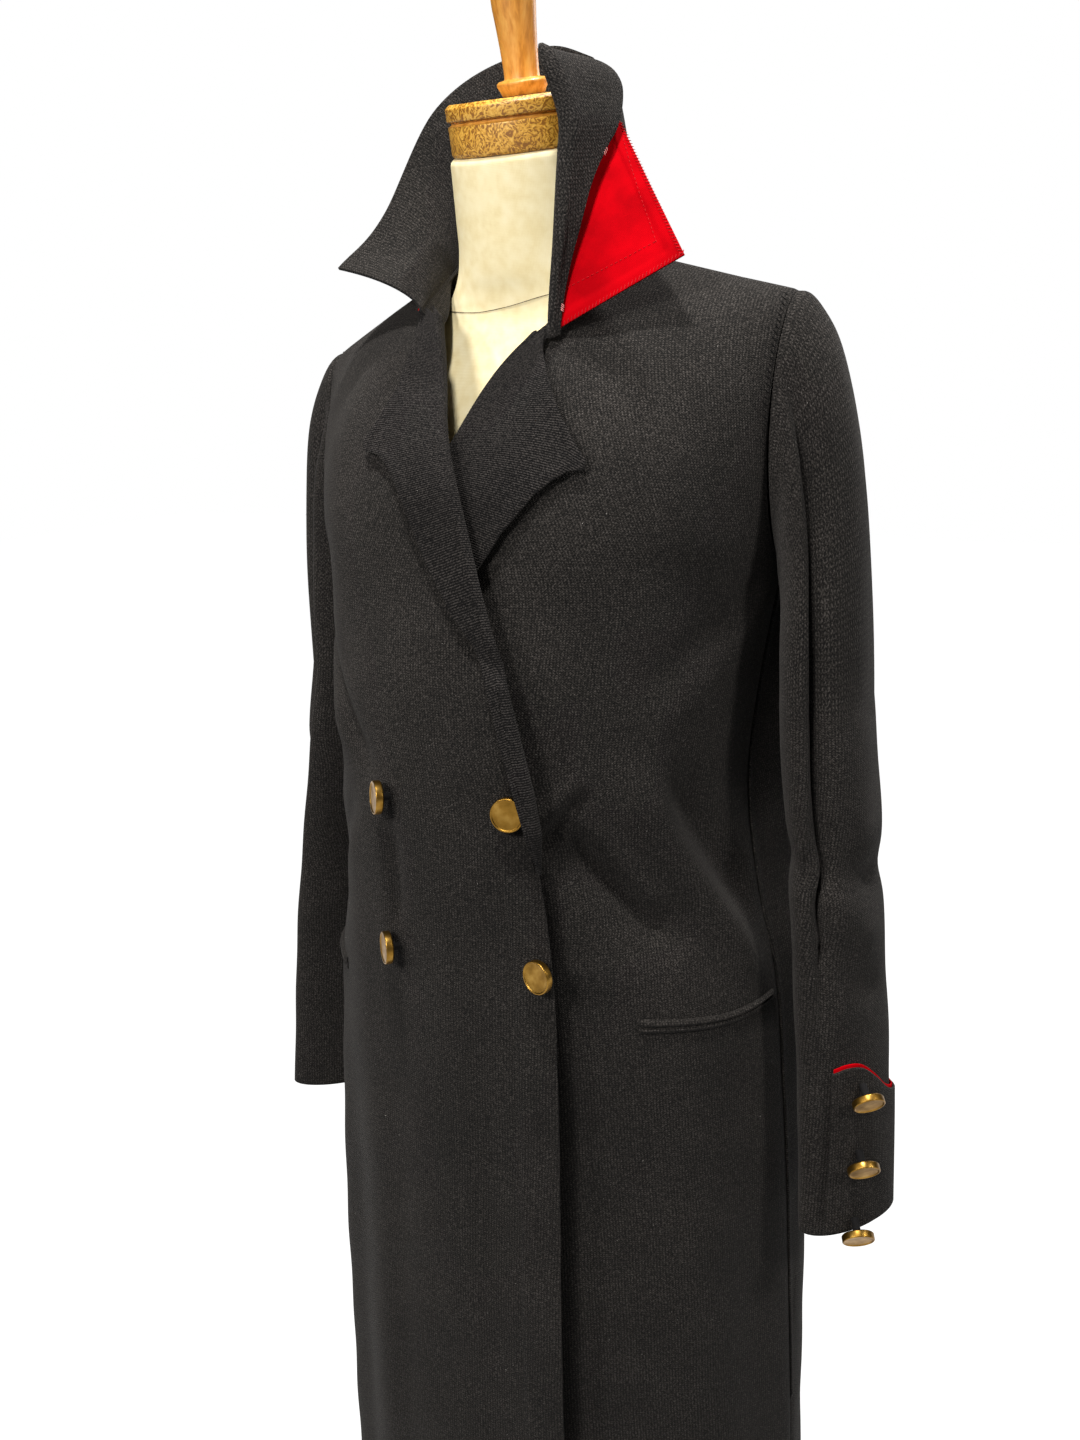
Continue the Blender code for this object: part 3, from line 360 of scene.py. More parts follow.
def sleeve_point(turn, way, side):
    """Point of a sleeve; way is 0 to 1 over the sleeve head, then 1 plus the fall below the elbow top."""
    turn, way = same_shape(turn, way)
    part = np.clip(way, 0.0, 1.0)[..., None]
    start = armhole(turn, side)
    start[..., 0] += side * (SLEEVE_GAP + 0.0016 * (1.0 - np.cos(turn)) / 2.0)
    end = hang_ring(turn, np.full_like(turn, ELBOW_TOP), side)
    reach = side * np.maximum(side * end[..., 0], side * start[..., 0] + 0.005)
    bend = np.stack([reach, 0.5 * (start[..., 1] + end[..., 1]), start[..., 2] - 0.008], -1)
    head = (1.0 - part) ** 2 * start + 2.0 * part * (1.0 - part) * bend + part ** 2 * end
    lower = hang_ring(turn, ELBOW_TOP - np.maximum(way - 1.0, 0.0), side)
    return np.where((way > 1.0)[..., None], lower, head)


print("sleeve hangs to", CUFF, "m")

# %% Surface of the collar
NECK = chart(
    "part out fore height",
    (0.00, 0.000, 0.0745, 1.4268), (0.25, 0.047, 0.0545, 1.4238), (0.50, 0.0705, 0.0070, 1.4136),
    (0.75, 0.0625, -0.0370, 1.3935), (1.00, 0.0510, -0.0800, 1.3760),
)
OPEN_WING = chart(
    "part out fore up",
    (0.00, 0.000, 0.012, 0.129), (0.12, 0.004, 0.012, 0.140), (0.25, 0.012, 0.010, 0.135),
    (0.50, 0.021, 0.003, 0.106), (0.75, 0.052, 0.012, 0.055), (1.00, 0.086, 0.024, 0.033),
)
UPRIGHT_WING = chart(
    "part out fore up",
    (0.00, 0.000, 0.012, 0.129), (0.12, -0.006, 0.010, 0.114), (0.25, -0.018, 0.006, 0.103),
    (0.50, -0.014, 0.003, 0.106), (0.75, 0.004, 0.014, 0.144), (1.00, 0.008, 0.026, 0.174),
)
WING_LEAN, WING_CLIMB = 1.55, 0.9      # powers of the rise: a late lean outwards, an early climb
TOP_CURL = (-0.019, -0.011)   # the upright wing's top corner leans to the neck by this


def neck_point(side, part):
    return xyz(side * along(NECK, "out", part), along(NECK, "fore", part),
               along(NECK, "height", part) - fall(side, 0.72 * (1.0 - part)))


def wing_point(table, side, part, rise):
    """Collar surface: upright at its base, leaning out to its free edge."""
    part, rise = same_shape(part, rise)
    climb = np.maximum(rise, 0.0)
    move = np.stack([side * along(table, "out", part) * climb ** WING_LEAN,
                     along(table, "fore", part) * climb,
                     along(table, "up", part) * climb ** WING_CLIMB + np.minimum(rise, 0.0) * 0.1], -1)
    if side > 0:
        curl = ease((rise - 0.66) / 0.40) * ease((part - 0.45) / 0.55)
        move = move + curl[..., None] * np.array([*TOP_CURL, 0.0])
    return neck_point(side, part) + move


def wing_normal(table, side, part, rise):
    """Unit normal on the outer side of the collar."""
    part, rise = np.clip(part, 0.002, 0.998), np.clip(rise, 0.02, 0.998)
    step = 1e-4
    forward = wing_point(table, side, part + step, rise) - wing_point(table, side, part - step, rise)
    upward = wing_point(table, side, part, rise + step) - wing_point(table, side, part, rise - step)
    return side * unit(np.cross(upward, forward))


def wing_skin(table, side, part, rise, out):
    """Collar surface moved outwards by out."""
    return wing_point(table, side, part, rise) + out * wing_normal(table, side, part, rise)


print("collar stands", OPEN_WING[0].up, "m at the nape")

# %% [markdown]
# ## Creases
#
# Heavy knit doesn't crumple: it makes a few soft troughs and ridges where a button pulls or the cloth hangs.
# A cloth simulation would put them where it likes, so each one is given one by one as a line on its piece,
# with a depth in metres and a width, and it fades out at both ends.  The sides that the photograph doesn't
# show get similar ones, never mirrored exactly.

# %% Crease table
# depth, width and line of each crease
CREASES = {
    "front_left": (
        # pleat at the waist button, drag lines from it to the hip, and the strong ridge down to the pocket
        (0.0042, 0.0050, ((0.40, 1.030), (0.47, 1.054), (0.52, 1.074))),
        (-0.0050, 0.0050, ((0.42, 1.020), (0.48, 1.041), (0.54, 1.064))),
        (-0.0105, 0.0150, ((0.45, 1.040), (0.54, 1.008), (0.64, 0.970), (0.75, 0.930))),
        (-0.0040, 0.0055, ((0.46, 1.046), (0.52, 1.024), (0.60, 0.985), (0.72, 0.938))),
        (0.0036, 0.0060, ((0.50, 1.052), (0.57, 1.020), (0.64, 0.990), (0.72, 0.960))),
        (0.0098, 0.0105, ((0.60, 1.100), (0.66, 1.052), (0.72, 1.015), (0.80, 0.972), (0.94, 0.890))),
        (-0.0080, 0.0120, ((0.72, 1.085), (0.80, 1.030), (0.88, 0.985), (0.97, 0.940))),
        # flutes of the skirt
        (-0.0042, 0.0210, ((0.50, 0.900), (0.54, 0.760), (0.58, 0.560), (0.60, 0.200))),
        (0.0040, 0.0240, ((0.66, 0.900), (0.69, 0.665), (0.72, 0.450), (0.73, 0.200))),
        (-0.0046, 0.0220, ((0.82, 0.880), (0.84, 0.640), (0.87, 0.400), (0.88, 0.200))),
        # soft pull across the chest towards the armhole
        (-0.0022, 0.0120, ((0.98, 1.215), (0.80, 1.170), (0.58, 1.120))),
        (0.0020, 0.0120, ((0.96, 1.180), (0.78, 1.130), (0.60, 1.085))),
    ),
    "front_right": (
        (-0.0062, 0.0085, ((0.78, 1.195), (0.58, 1.150), (0.45, 1.098), (0.35, 1.052))),
        (0.0040, 0.0090, ((0.74, 1.165), (0.58, 1.115), (0.46, 1.068))),
        (-0.0034, 0.0060, ((0.350, 1.046), (0.346, 1.000), (0.350, 0.945))),
        (-0.0026, 0.0110, ((0.360, 0.940), (0.372, 0.780), (0.378, 0.560), (0.380, 0.200))),
        (0.0028, 0.0200, ((0.24, 1.000), (0.21, 0.850), (0.20, 0.650), (0.19, 0.200))),
        (-0.0030, 0.0220, ((0.56, 0.900), (0.58, 0.680), (0.61, 0.200))),
        (0.0042, 0.0220, ((0.72, 0.900), (0.75, 0.640), (0.77, 0.200))),
        (0.0040, 0.0095, ((0.60, 1.060), (0.72, 1.000), (0.82, 0.955), (0.93, 0.905))),
        (-0.0028, 0.0080, ((0.46, 1.050), (0.58, 1.005), (0.68, 0.965))),
        # small dent in the right lapel's roll
        (-0.0040, 0.0050, ((-0.06, 1.140), (0.00, 1.150), (0.07, 1.172))),
    ),
    "back": (
        # the back hangs in long flutes under a few folds at the waist
        (-0.0042, 0.0100, ((-0.95, 1.100), (-0.70, 1.060), (-0.40, 1.045))),
        (0.0036, 0.0100, ((-0.92, 1.060), (-0.66, 1.022), (-0.36, 1.010))),
        (-0.0040, 0.0110, ((0.94, 1.090), (0.66, 1.040), (0.32, 1.030))),
        (0.0034, 0.0110, ((0.90, 1.045), (0.62, 1.000), (0.30, 0.990))),
        (-0.0060, 0.0260, ((-0.62, 0.960), (-0.66, 0.640), (-0.68, 0.200))),
        (0.0060, 0.0280, ((-0.34, 0.960), (-0.38, 0.640), (-0.40, 0.200))),
        (-0.0062, 0.0260, ((-0.06, 0.980), (-0.08, 0.640), (-0.10, 0.200))),
        (0.0056, 0.0260, ((0.22, 0.960), (0.24, 0.640), (0.26, 0.200))),
        (-0.0060, 0.0280, ((0.52, 0.960), (0.56, 0.640), (0.58, 0.200))),
        (-0.0030, 0.0160, ((-0.85, 1.250), (-0.60, 1.200), (-0.30, 1.190))),
        (-0.0028, 0.0160, ((0.85, 1.240), (0.55, 1.195), (0.26, 1.180))),
    ),
    "sleeve_left": (
        # sleeves: the share is the turn round the sleeve, 0 on the outer face and 0.25 at the front fold
        (0.0032, 0.0120, ((0.050, 1.300), (0.055, 1.120), (0.040, 0.920))),
        (-0.0028, 0.0080, ((0.150, 1.030), (0.060, 0.985), (-0.060, 0.965))),
        (-0.0026, 0.0080, ((0.200, 0.950), (0.090, 0.905), (-0.080, 0.880))),
        (0.0024, 0.0090, ((0.190, 0.985), (0.070, 0.945), (-0.060, 0.922))),
        (-0.0020, 0.0100, ((-0.020, 1.340), (-0.050, 1.220), (-0.120, 1.120))),
        (-0.0034, 0.0140, ((-0.200, 1.180), (-0.240, 1.020), (-0.220, 0.860))),
        (-0.0034, 0.0110, ((0.420, 1.060), (0.480, 1.000), (-0.460, 0.960))),
    ),
    "sleeve_right": (
        (0.0030, 0.0120, ((0.030, 1.280), (0.040, 1.100), (0.050, 0.900))),
        (-0.0030, 0.0085, ((0.170, 1.040), (0.070, 0.995), (-0.050, 0.980))),
        (-0.0026, 0.0085, ((0.190, 0.940), (0.080, 0.900), (-0.070, 0.870))),
        (-0.0032, 0.0140, ((-0.210, 1.160), (-0.230, 1.000), (-0.200, 0.850))),
    ),
}
SPAN = {"front_left": 0.34, "front_right": 0.35, "back": 0.27, "sleeve_left": 0.26, "sleeve_right": 0.26}
CREASE_FADE = 0.28        # share of a crease over which each end fades


def crease_depth(piece, share, height):
    """Sum of the creases of a piece, outward positive, at a share across and a height."""
    share, height = same_shape(share, height)
    here = np.stack([share * SPAN[piece], height], -1)
    total = np.zeros(share.shape)
    for depth, width, chalked in CREASES[piece]:
        line = np.array(chalked) * (SPAN[piece], 1.0)
        steps = np.diff(line, axis=0)
        lengths = np.linalg.norm(steps, axis=1)
        nearest, place, done = np.full(share.shape, 9.0), np.zeros(share.shape), 0.0
        for start, step, length in zip(line, steps, lengths):
            t = np.clip(((here - start) @ step) / length ** 2, 0.0, 1.0)
            gap = np.linalg.norm(here - start - t[..., None] * step, axis=-1)
            place = np.where(gap < nearest, (done + t * length) / lengths.sum(), place)
            nearest = np.minimum(nearest, gap)
            done += length
        fade = ease(np.minimum(place, 1.0 - place) / CREASE_FADE)
        total += depth * fade * np.exp(-0.5 * (nearest / width) ** 2)
    return total


def ripple(across, height, phase):
    """Slow unevenness of hanging knit, under a millimetre, from a few fixed waves."""
    return 0.00035 * (np.sin(52.0 * across + 11.0 * height + phase)
                      + np.sin(31.0 * height - 23.0 * across + 2.0 * phase)
                      + np.sin(74.0 * height + 45.0 * across + 3.0 * phase))


print(sum(len(rows) for rows in CREASES.values()), "creases placed")

# %% [markdown]
# ## From a grid of points to cloth
#
# A shell is a grid of points with four-cornered faces.  Solidify gives it the thickness of the doubled knit
# and Bevel rounds the cut edges, so they catch the light as a turned edge does.  Both are baked into the mesh
# at once.  Each shell also carries a UV map in metres of cloth, so the stitches of the knit keep their size
# and run down the piece, whichever way it bends.

# %% Cloth helpers
EDGE_ROUNDING = 0.42      # share of the thickness that Bevel takes off an edge


def quads(rows, columns, closed=False):
    """Corner numbers of the faces of a grid, rows first."""
    spans = columns if closed else columns - 1
    r, c = np.meshgrid(np.arange(rows - 1), np.arange(spans), indexing="ij")
    after = (c + 1) % columns
    return np.stack([r * columns + c, r * columns + after, (r + 1) * columns + after, (r + 1) * columns + c],
                    -1).reshape(-1, 4)


def measure(points, closed=False):
    """Metres of cloth along the rows and up the middle column of a grid, one column more if it is closed."""
    ring = np.concatenate([points, points[:, :1]], axis=1) if closed else points
    u = np.zeros(ring.shape[:2])
    u[:, 1:] = np.cumsum(np.linalg.norm(np.diff(ring, axis=1), axis=-1), axis=1)
    middle = ring[:, ring.shape[1] // 2]
    v = np.concatenate([[0.0], np.cumsum(np.linalg.norm(np.diff(middle, axis=0), axis=-1))])
    return u, np.broadcast_to(v[:, None], u.shape)


def corners_of(u, v):
    """UV of the four corners of each face of a grid."""
    both = np.stack([u, v], -1)
    return np.stack([both[:-1, :-1], both[:-1, 1:], both[1:, 1:], both[1:, :-1]], -2).reshape(-1, 4, 2)


def face_area(points, faces):
    a, b, c, d = (points[faces[:, k]] for k in range(4))
    return float(np.sum(np.linalg.norm(np.cross(c - a, d - b), axis=-1)) / 2.0)


def linked(name, data):
    """New object in the scene."""
    made = bpy.data.objects.new(name, data)
    bpy.context.scene.collection.objects.link(made)
    return made


def baked(piece):
    """Turn a piece's modifiers into plain mesh."""
    deps = bpy.context.evaluated_depsgraph_get()
    plain = bpy.data.meshes.new_from_object(piece.evaluated_get(deps), preserve_all_data_layers=True,
                                            depsgraph=deps)
    old = piece.data
    piece.modifiers.clear()
    piece.data = plain
    bpy.data.meshes.remove(old)
    plain.name = piece.name
    return piece


def cloth(name, points, faces, corners, thickness, finishes, finish_of=None, flip=False):
    """Baked shell of one cloth piece; finish_of gives each face its place in finishes."""
    area = face_area(points, faces)
    if flip:
        faces, corners = faces[:, ::-1], corners[:, ::-1]
    mesh = bpy.data.meshes.new(name + "_grid")
    mesh.from_pydata(points.tolist(), [], faces.tolist())
    mesh.uv_layers.new(name="cloth").data.foreach_set("uv", np.ascontiguousarray(corners, float).ravel())
    for finish in finishes:
        mesh.materials.append(finish)
    if finish_of is not None:
        mesh.polygons.foreach_set("material_index", np.asarray(finish_of, dtype=np.int32))
    mesh.shade_smooth()
    piece = linked(name + "_cloth", mesh)
    wall = piece.modifiers.new("wall", 'SOLIDIFY')
    wall.thickness, wall.offset, wall.use_quality_normals = thickness, 0.0, True
    round_edge = piece.modifiers.new("round_edge", 'BEVEL')
    round_edge.width, round_edge.segments = EDGE_ROUNDING * thickness, 2
    round_edge.limit_method, round_edge.angle_limit = 'ANGLE', radians(60.0)
    baked(piece)
    print(f"{name}: {len(piece.data.polygons)} faces, {area:.4f} m2 of cloth")
    return piece, area


def grid_cloth(name, points, thickness, finishes, finish_of=None, flip=False):
    """Baked shell on a plain grid of points."""
    return cloth(name, points.reshape(-1, 3), quads(*points.shape[:2]), corners_of(*measure(points)),
                 thickness, finishes, finish_of, flip)


def settle(piece, node):
    """Hide the solid that a cloth piece takes the place of, and attach the piece to the root."""
    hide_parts(node)
    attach(piece, "root")


print("cloth helpers ready")

# %% [markdown]
# ## Colours and nodes
#
# Colours are written as sRGB hex values, as read off a colour card, and one function makes them linear for
# the shader.  One more adds a node, sets it and wires it, so that each material below reads as a list of what
# the eye sees.

# %% Colour and node helpers
def linear(code):
    values = [int(code[k:k + 2], 16) / 255.0 for k in (1, 3, 5)]
    return tuple(v / 12.92 if v <= 0.04045 else ((v + 0.055) / 1.055) ** 2.4 for v in values) + (1.0,)


def add(tree, kind, wires=(), **settings):
    """Add a node; wires are (input, value) or (input, (node, output))."""
    made = tree.nodes.new(kind)
    for name, value in settings.items():
        setattr(made, name, value)
    for socket, value in wires:
        if isinstance(value, tuple) and isinstance(value[0], bpy.types.Node):
            tree.links.new(value[0].outputs[value[1]], made.inputs[socket])
        else:
            made.inputs[socket].default_value = value
    return made


def start_finish(name, **sockets):
    """New material with its shader's own sockets set; spaces in socket names are written as underscores."""
    finish = bpy.data.materials.new(name)
    finish.use_nodes = True
    shader = finish.node_tree.nodes["Principled BSDF"]
    for socket, value in sockets.items():
        shader.inputs[socket.replace("_", " ")].default_value = value
    return finish, finish.node_tree, shader


def shade_ramp(tree, factor, *stops):
    """Colour ramp from (place, hex) stops."""
    ramp = add(tree, 'ShaderNodeValToRGB', [("Fac", factor)])
    while len(ramp.color_ramp.elements) < len(stops):
        ramp.color_ramp.elements.new(0.5)
    for element, (place, code) in zip(ramp.color_ramp.elements, stops):
        element.position, element.color = place, linear(code)
    return ramp


def maths(tree, operation, *values):
    """Result of a maths node on numbers and (node, output) pairs."""
    return add(tree, 'ShaderNodeMath', list(enumerate(values)), operation=operation), 0


def noise(tree, where, scale, detail, **more):
    return add(tree, 'ShaderNodeTexNoise',
               [("Vector", where), ("Scale", scale), ("Detail", detail), *more.items()]), "Fac"


def bump(tree, strength, distance, height):
    return add(tree, 'ShaderNodeBump', [("Strength", strength), ("Distance", distance), ("Height", height)])


def object_place(tree):
    return add(tree, 'ShaderNodeTexCoord'), "Object"


def cloth_place(tree):
    """Metres of cloth across and along a piece, from its UV map."""
    split = add(tree, 'ShaderNodeSeparateXYZ', [(0, (add(tree, 'ShaderNodeUVMap', uv_map="cloth"), 0))])
    return (split, 0), (split, 1)


def wire(tree, shader, **sources):
    """Join nodes to the shader's sockets, named as in start_finish."""
    for socket, node in sources.items():
        tree.links.new(node.outputs[0], shader.inputs[socket.replace("_", " ")])


print("mid grey #808080 is", round(linear("#808080")[0], 3), "in linear light")

# %% [markdown]
# ## Black wool knit
#
# Plain knitting is columns of small V stitches.  The real columns are about 1.4 mm wide, which is two pixels
# here, so they are drawn 2.2 mm wide to show at all.  Wool is matt, with a faint pale bloom where the surface
# turns away from the eye: that is its fuzz, given by the sheen.  The lapels show the wrong side of the knit,
# whose small bars run across the columns.

# %% Knit finishes
WALE, COURSE = 0.0022, 0.0017     # width of a stitch column and height of a stitch, coarsened to show


def knit_finish(name, wrong_side, tints, strength):
    """Wool knit on the piece's own UV map; wrong_side shows the bars instead of the V stitches."""
    # matt black wool: no clear highlight, soft pale bloom at grazing angles, peppered with paler fibres
    finish, tree, shader = start_finish(name, Roughness=0.95, Specular_IOR_Level=0.12, Sheen_Weight=0.06,
                                        Sheen_Roughness=0.5, Sheen_Tint=linear("#cfc8c2"))
    slope, side_drop, stitch_share, lift = ((0.35, -0.8, 0.46, 0.105) if wrong_side
                                            else (1.5, -3.4, 0.28, -0.005))
    across, down = cloth_place(tree)
    inside = maths(tree, 'FRACT', maths(tree, 'DIVIDE', across, WALE))
    off = maths(tree, 'ABSOLUTE', maths(tree, 'SUBTRACT', inside, 0.5))
    slant = maths(tree, 'MULTIPLY_ADD', off, slope, maths(tree, 'DIVIDE', down, COURSE))
    leg = maths(tree, 'SINE', maths(tree, 'MULTIPLY', slant, 2.0 * pi))
    leg_up = maths(tree, 'MULTIPLY_ADD', leg, 0.3, 0.6)
    column_up = maths(tree, 'MULTIPLY_ADD', maths(tree, 'POWER', off, 2.2), side_drop, 1.0)
    stitch = maths(tree, 'MULTIPLY', leg_up, column_up)
    where = object_place(tree)
    # pepper of single fibres, 1.2 mm apart, and slow patches of wear 60 mm wide
    pepper = noise(tree, where, 1.0 / 0.0012, 2.0, Roughness=0.7)
    patch = noise(tree, where, 1.0 / 0.06, 5.0)
    relief = bump(tree, strength, 0.0006, maths(tree, 'MULTIPLY_ADD', pepper, 1.1, stitch))
    worn = maths(tree, 'MULTIPLY_ADD', patch, 0.12, pepper)
    blend = maths(tree, 'MULTIPLY_ADD', stitch, stitch_share, worn)
    colour = shade_ramp(tree, blend, *((stop + lift, tint) for stop, tint in zip((0.58, 0.74, 0.96), tints)))
    wire(tree, shader, Base_Color=colour, Normal=relief)
    return finish


KNIT = knit_finish("black_wool_plain_knit", False, ("#0f0e0d", "#25221f", "#4e4945"), 0.6)
KNIT_BACK = knit_finish("black_wool_reverse_knit", True, ("#070606", "#141211", "#3a3633"), 0.9)
# knit darkened to paint the shade down the pocket slit; the armhole marks are sewn in it too
KNIT_PAINTED_SHADE = knit_finish("black_wool_darkened_for_painted_shade", False, ("#040404", "#080707", "#121111"), 0.3)
print("stitch", WALE * 1000, "x", COURSE * 1000, "mm")

# %% [markdown]
# ## Red facing
#
# The under-collar and the cuff linings are a clear red woven wool, flatter and smoother than the knit.  A
# fine diagonal twill of about 0.9 mm and a slight change of tone keep it from looking like paint.

# %% Red finish
TWILL = 0.0009            # width of a diagonal of the twill


def red_finish():
    # milled woven wool: saturated, matt, a little darker in the grain
    finish, tree, shader = start_finish("red_milled_wool", Roughness=1.0, Specular_IOR_Level=0.03)
    across, down = cloth_place(tree)
    turn = maths(tree, 'MULTIPLY', maths(tree, 'ADD', across, down), 2.0 * pi / TWILL)
    where = object_place(tree)
    grain = noise(tree, where, 700.0, 3.0)
    relief = bump(tree, 0.25, 0.0003, maths(tree, 'MULTIPLY_ADD', maths(tree, 'SINE', turn), 0.3, grain))
    patch = noise(tree, where, 40.0, 4.0)
    colour = shade_ramp(tree, patch, (0.30, "#930007"), (0.55, "#ab0009"), (0.75, "#b8000b"))
    wire(tree, shader, Base_Color=colour, Normal=relief)
    return finish


RED = red_finish()
print("red facing", RED.name)

# %% [markdown]
# ## Back of the coat
#
# The back is one panel from hem to neck.  Its borders dip a millimetre or so towards the inside, as cloth
# does at a seam, and so meet the fronts and sleeves in a soft groove.

# %% Back
TUCK = 0.0010             # dip of a panel at its seams
TUCK_REACH = 0.0036
SEAM_FROM = 0.34          # share from which a top edge is a shoulder seam
BACK_LEVEL, BACK_RUN = 1.4, 0.2   # running height of the back's top, and its rise from the underarm


def seam_dip(distance, depth=TUCK):
    return -depth * np.exp(-(distance / TUCK_REACH) ** 2)


def back_base(share, height):
    """Back by a running height up to BACK_LEVEL at the shoulder, with the turn at the underarm eased."""
    share, height = same_shape(share, height)

    def at(level):
        return back_point(share, np.where(level < UNDERARM, level, 2.0 + (level - UNDERARM) / BACK_RUN))

    return over_underarm(at, height)


def back_skin(share, height):
    share, height = same_shape(share, height)
    normal = normal_on(back_base, share, height, np.array([0.0, 1.0, 0.3]))
    lift = crease_depth("back", share, height) + ripple(share * SPAN["back"], height, 0.4)
    lift = lift * ease((1.0 - np.abs(share)) / 0.10) * ease((1.398 - height) / 0.03)
    lift = lift + seam_dip((1.0 - np.abs(share)) * SPAN["back"])
    lift = lift + np.where(np.abs(share) > SEAM_FROM, seam_dip(BACK_LEVEL - height), 0.0)
    return back_base(share, height) + lift[..., None] * normal


def make_back():
    shares = np.concatenate([np.linspace(-1.0, -0.9, 11), np.linspace(-0.9, 0.9, 91)[1:-1],
                             np.linspace(0.9, 1.0, 11)])
    heights = np.concatenate([np.linspace(HEM, UNDERARM, 170), np.linspace(UNDERARM, BACK_LEVEL, 48)[1:]])
    points = back_skin(shares[None, :], heights[:, None])
    u, v = measure(points)
    u = u - u[:, [len(shares) // 2]]
    return cloth("back", points.reshape(-1, 3), quads(*points.shape[:2]), corners_of(u, v), CLOTH, [KNIT],
                 flip=True)


back, back_area = make_back()
settle(back, "back")

# %% [markdown]
# ## Fronts with their lapels
#
# A front and its lapel are one piece of cloth: the lapel is the top of the front's edge, rolled outwards
# along the roll line and laid back on the chest.  So the grid goes across the chest, round a soft roll and
# back, and the lapel shows the wrong side of the knit.  A band along the free edge and one along the lapel's
# edge are slightly thicker, where the cloth is doubled.

# %% Fronts
RIGHT_LAPEL = chart(
    "height width fold",
    (1.010, 0.0006, 0.0006), (1.022, 0.0018, 0.0030), (1.040, 0.0030, 0.0066), (1.070, 0.0050, 0.0068),
    (1.105, 0.0065, 0.0055), (1.154, 0.0085, 0.0038), (1.170, 0.0110, 0.0034), (1.190, 0.0180, 0.0034),
    (1.224, 0.0260, 0.0034), (1.260, 0.0310, 0.0034), (1.272, 0.0345, 0.0034), (1.282, 0.0395, 0.0034),
    (1.288, 0.0465, 0.0034), (1.292, 0.0585, 0.0034), (1.296, 0.0595, 0.0034), (1.304, 0.0480, 0.0034),
    (1.312, 0.0405, 0.0034), (1.320, 0.0345, 0.0034), (1.334, 0.0325, 0.0034), (1.372, 0.0310, 0.0034),
)
LEFT_LAPEL = chart(
    "height width fold",
    (1.010, 0.0040, 0.0022), (1.040, 0.0100, 0.0028), (1.070, 0.0160, 0.0030), (1.105, 0.0220, 0.0032),
    (1.145, 0.0300, 0.0034), (1.200, 0.0440, 0.0034), (1.232, 0.0515, 0.0034), (1.254, 0.0570, 0.0034),
    (1.276, 0.0675, 0.0034), (1.284, 0.0745, 0.0034), (1.290, 0.0820, 0.0034), (1.294, 0.0895, 0.0034),
    (1.298, 0.0885, 0.0034), (1.303, 0.0790, 0.0034), (1.309, 0.0695, 0.0034), (1.318, 0.0595, 0.0034),
    (1.330, 0.0480, 0.0034), (1.352, 0.0305, 0.0034), (1.372, 0.0200, 0.0034),
)
LAPELS = {1: LEFT_LAPEL, -1: RIGHT_LAPEL}
LAPEL_TOP = GORGE - 0.0015   # the lapel's rows end just under the gorge
LAPEL_DROP = 0.35         # fall of the lapel's rows per metre of width
BAND, BAND_LIFT = 0.026, 0.0012
LAPEL_BAND = 0.0075
FOLD_STEPS, LAPEL_STEPS = 9, 26
FRONT_HINT = np.array([0.4, -1.0, 0.2])


def front_normal(side, share, height):
    return normal_on(lambda u, v: front_base(side, u, v), share, height, FRONT_HINT * (side, 1.0, 1.0))


def front_skin(side, share, height, out=0.0, plain=False):
    """Front with its creases, bands and seams, moved outwards by out; plain leaves bands and seams off."""
    share, height = same_shape(share, height)
    name = "front_left" if side > 0 else "front_right"
    normal = front_normal(side, share, height)
    lift = crease_depth(name, share, height) + ripple(share * SPAN[name], height, 1.3 + side)
    lift = lift * ease((1.0 - share) / 0.07) * ease((GORGE - height) / 0.03)
    if not plain:
        length = SPAN[name]
        below = ease((BREAK + 0.02 - height) / 0.05)
        lift = lift + below * BAND_LIFT * (1.0 - ease((share * length - BAND + 0.0015) / 0.003))
        lift = lift + seam_dip((1.0 - share) * length)
        lift = lift + np.where(share > SEAM_FROM, seam_dip((GORGE - height) * 1.05), 0.0)
    return front_base(side, share, height) + (lift + out)[..., None] * normal


def lapel_grid(side, rows, roll):
    """Rows of points round the roll and back over the chest to the lapel's edge."""
    table = LAPELS[side]
    width, radius = straight(table, "width", rows)[:, None], straight(table, "fold", rows)[:, None]
    level = np.minimum(rows, LAPEL_TOP)
    normal = front_normal(side, np.full_like(rows, 0.004), level)
    tangent = unit(front_base(side, 0.02, level) - front_base(side, 0.0, level))
    turn = np.linspace(0.0, pi, FOLD_STEPS + 1)[None, 1:-1, None]
    rolled = (roll[:, None] + radius[..., None] * ((1.0 - np.cos(turn)) * normal[:, None]
                                                  - np.sin(turn) * tangent[:, None]))
    part = np.linspace(0.0, 1.0, LAPEL_STEPS)[None, :]
    share = np.maximum(part * width / row_length(side, rows)[:, None], 0.004)
    low = np.minimum(rows[:, None] - LAPEL_DROP * part * width, LAPEL_TOP)
    band = 0.0007 * (1.0 - ease(((1.0 - part) * width - LAPEL_BAND + 0.001) / 0.002)) * ease(width / 0.02)
    laid = front_skin(side, share, low, 2.0 * radius + band, plain=True)
    laid[:, 0] = roll + 2.0 * radius * normal
    return np.concatenate([rolled, laid], axis=1)


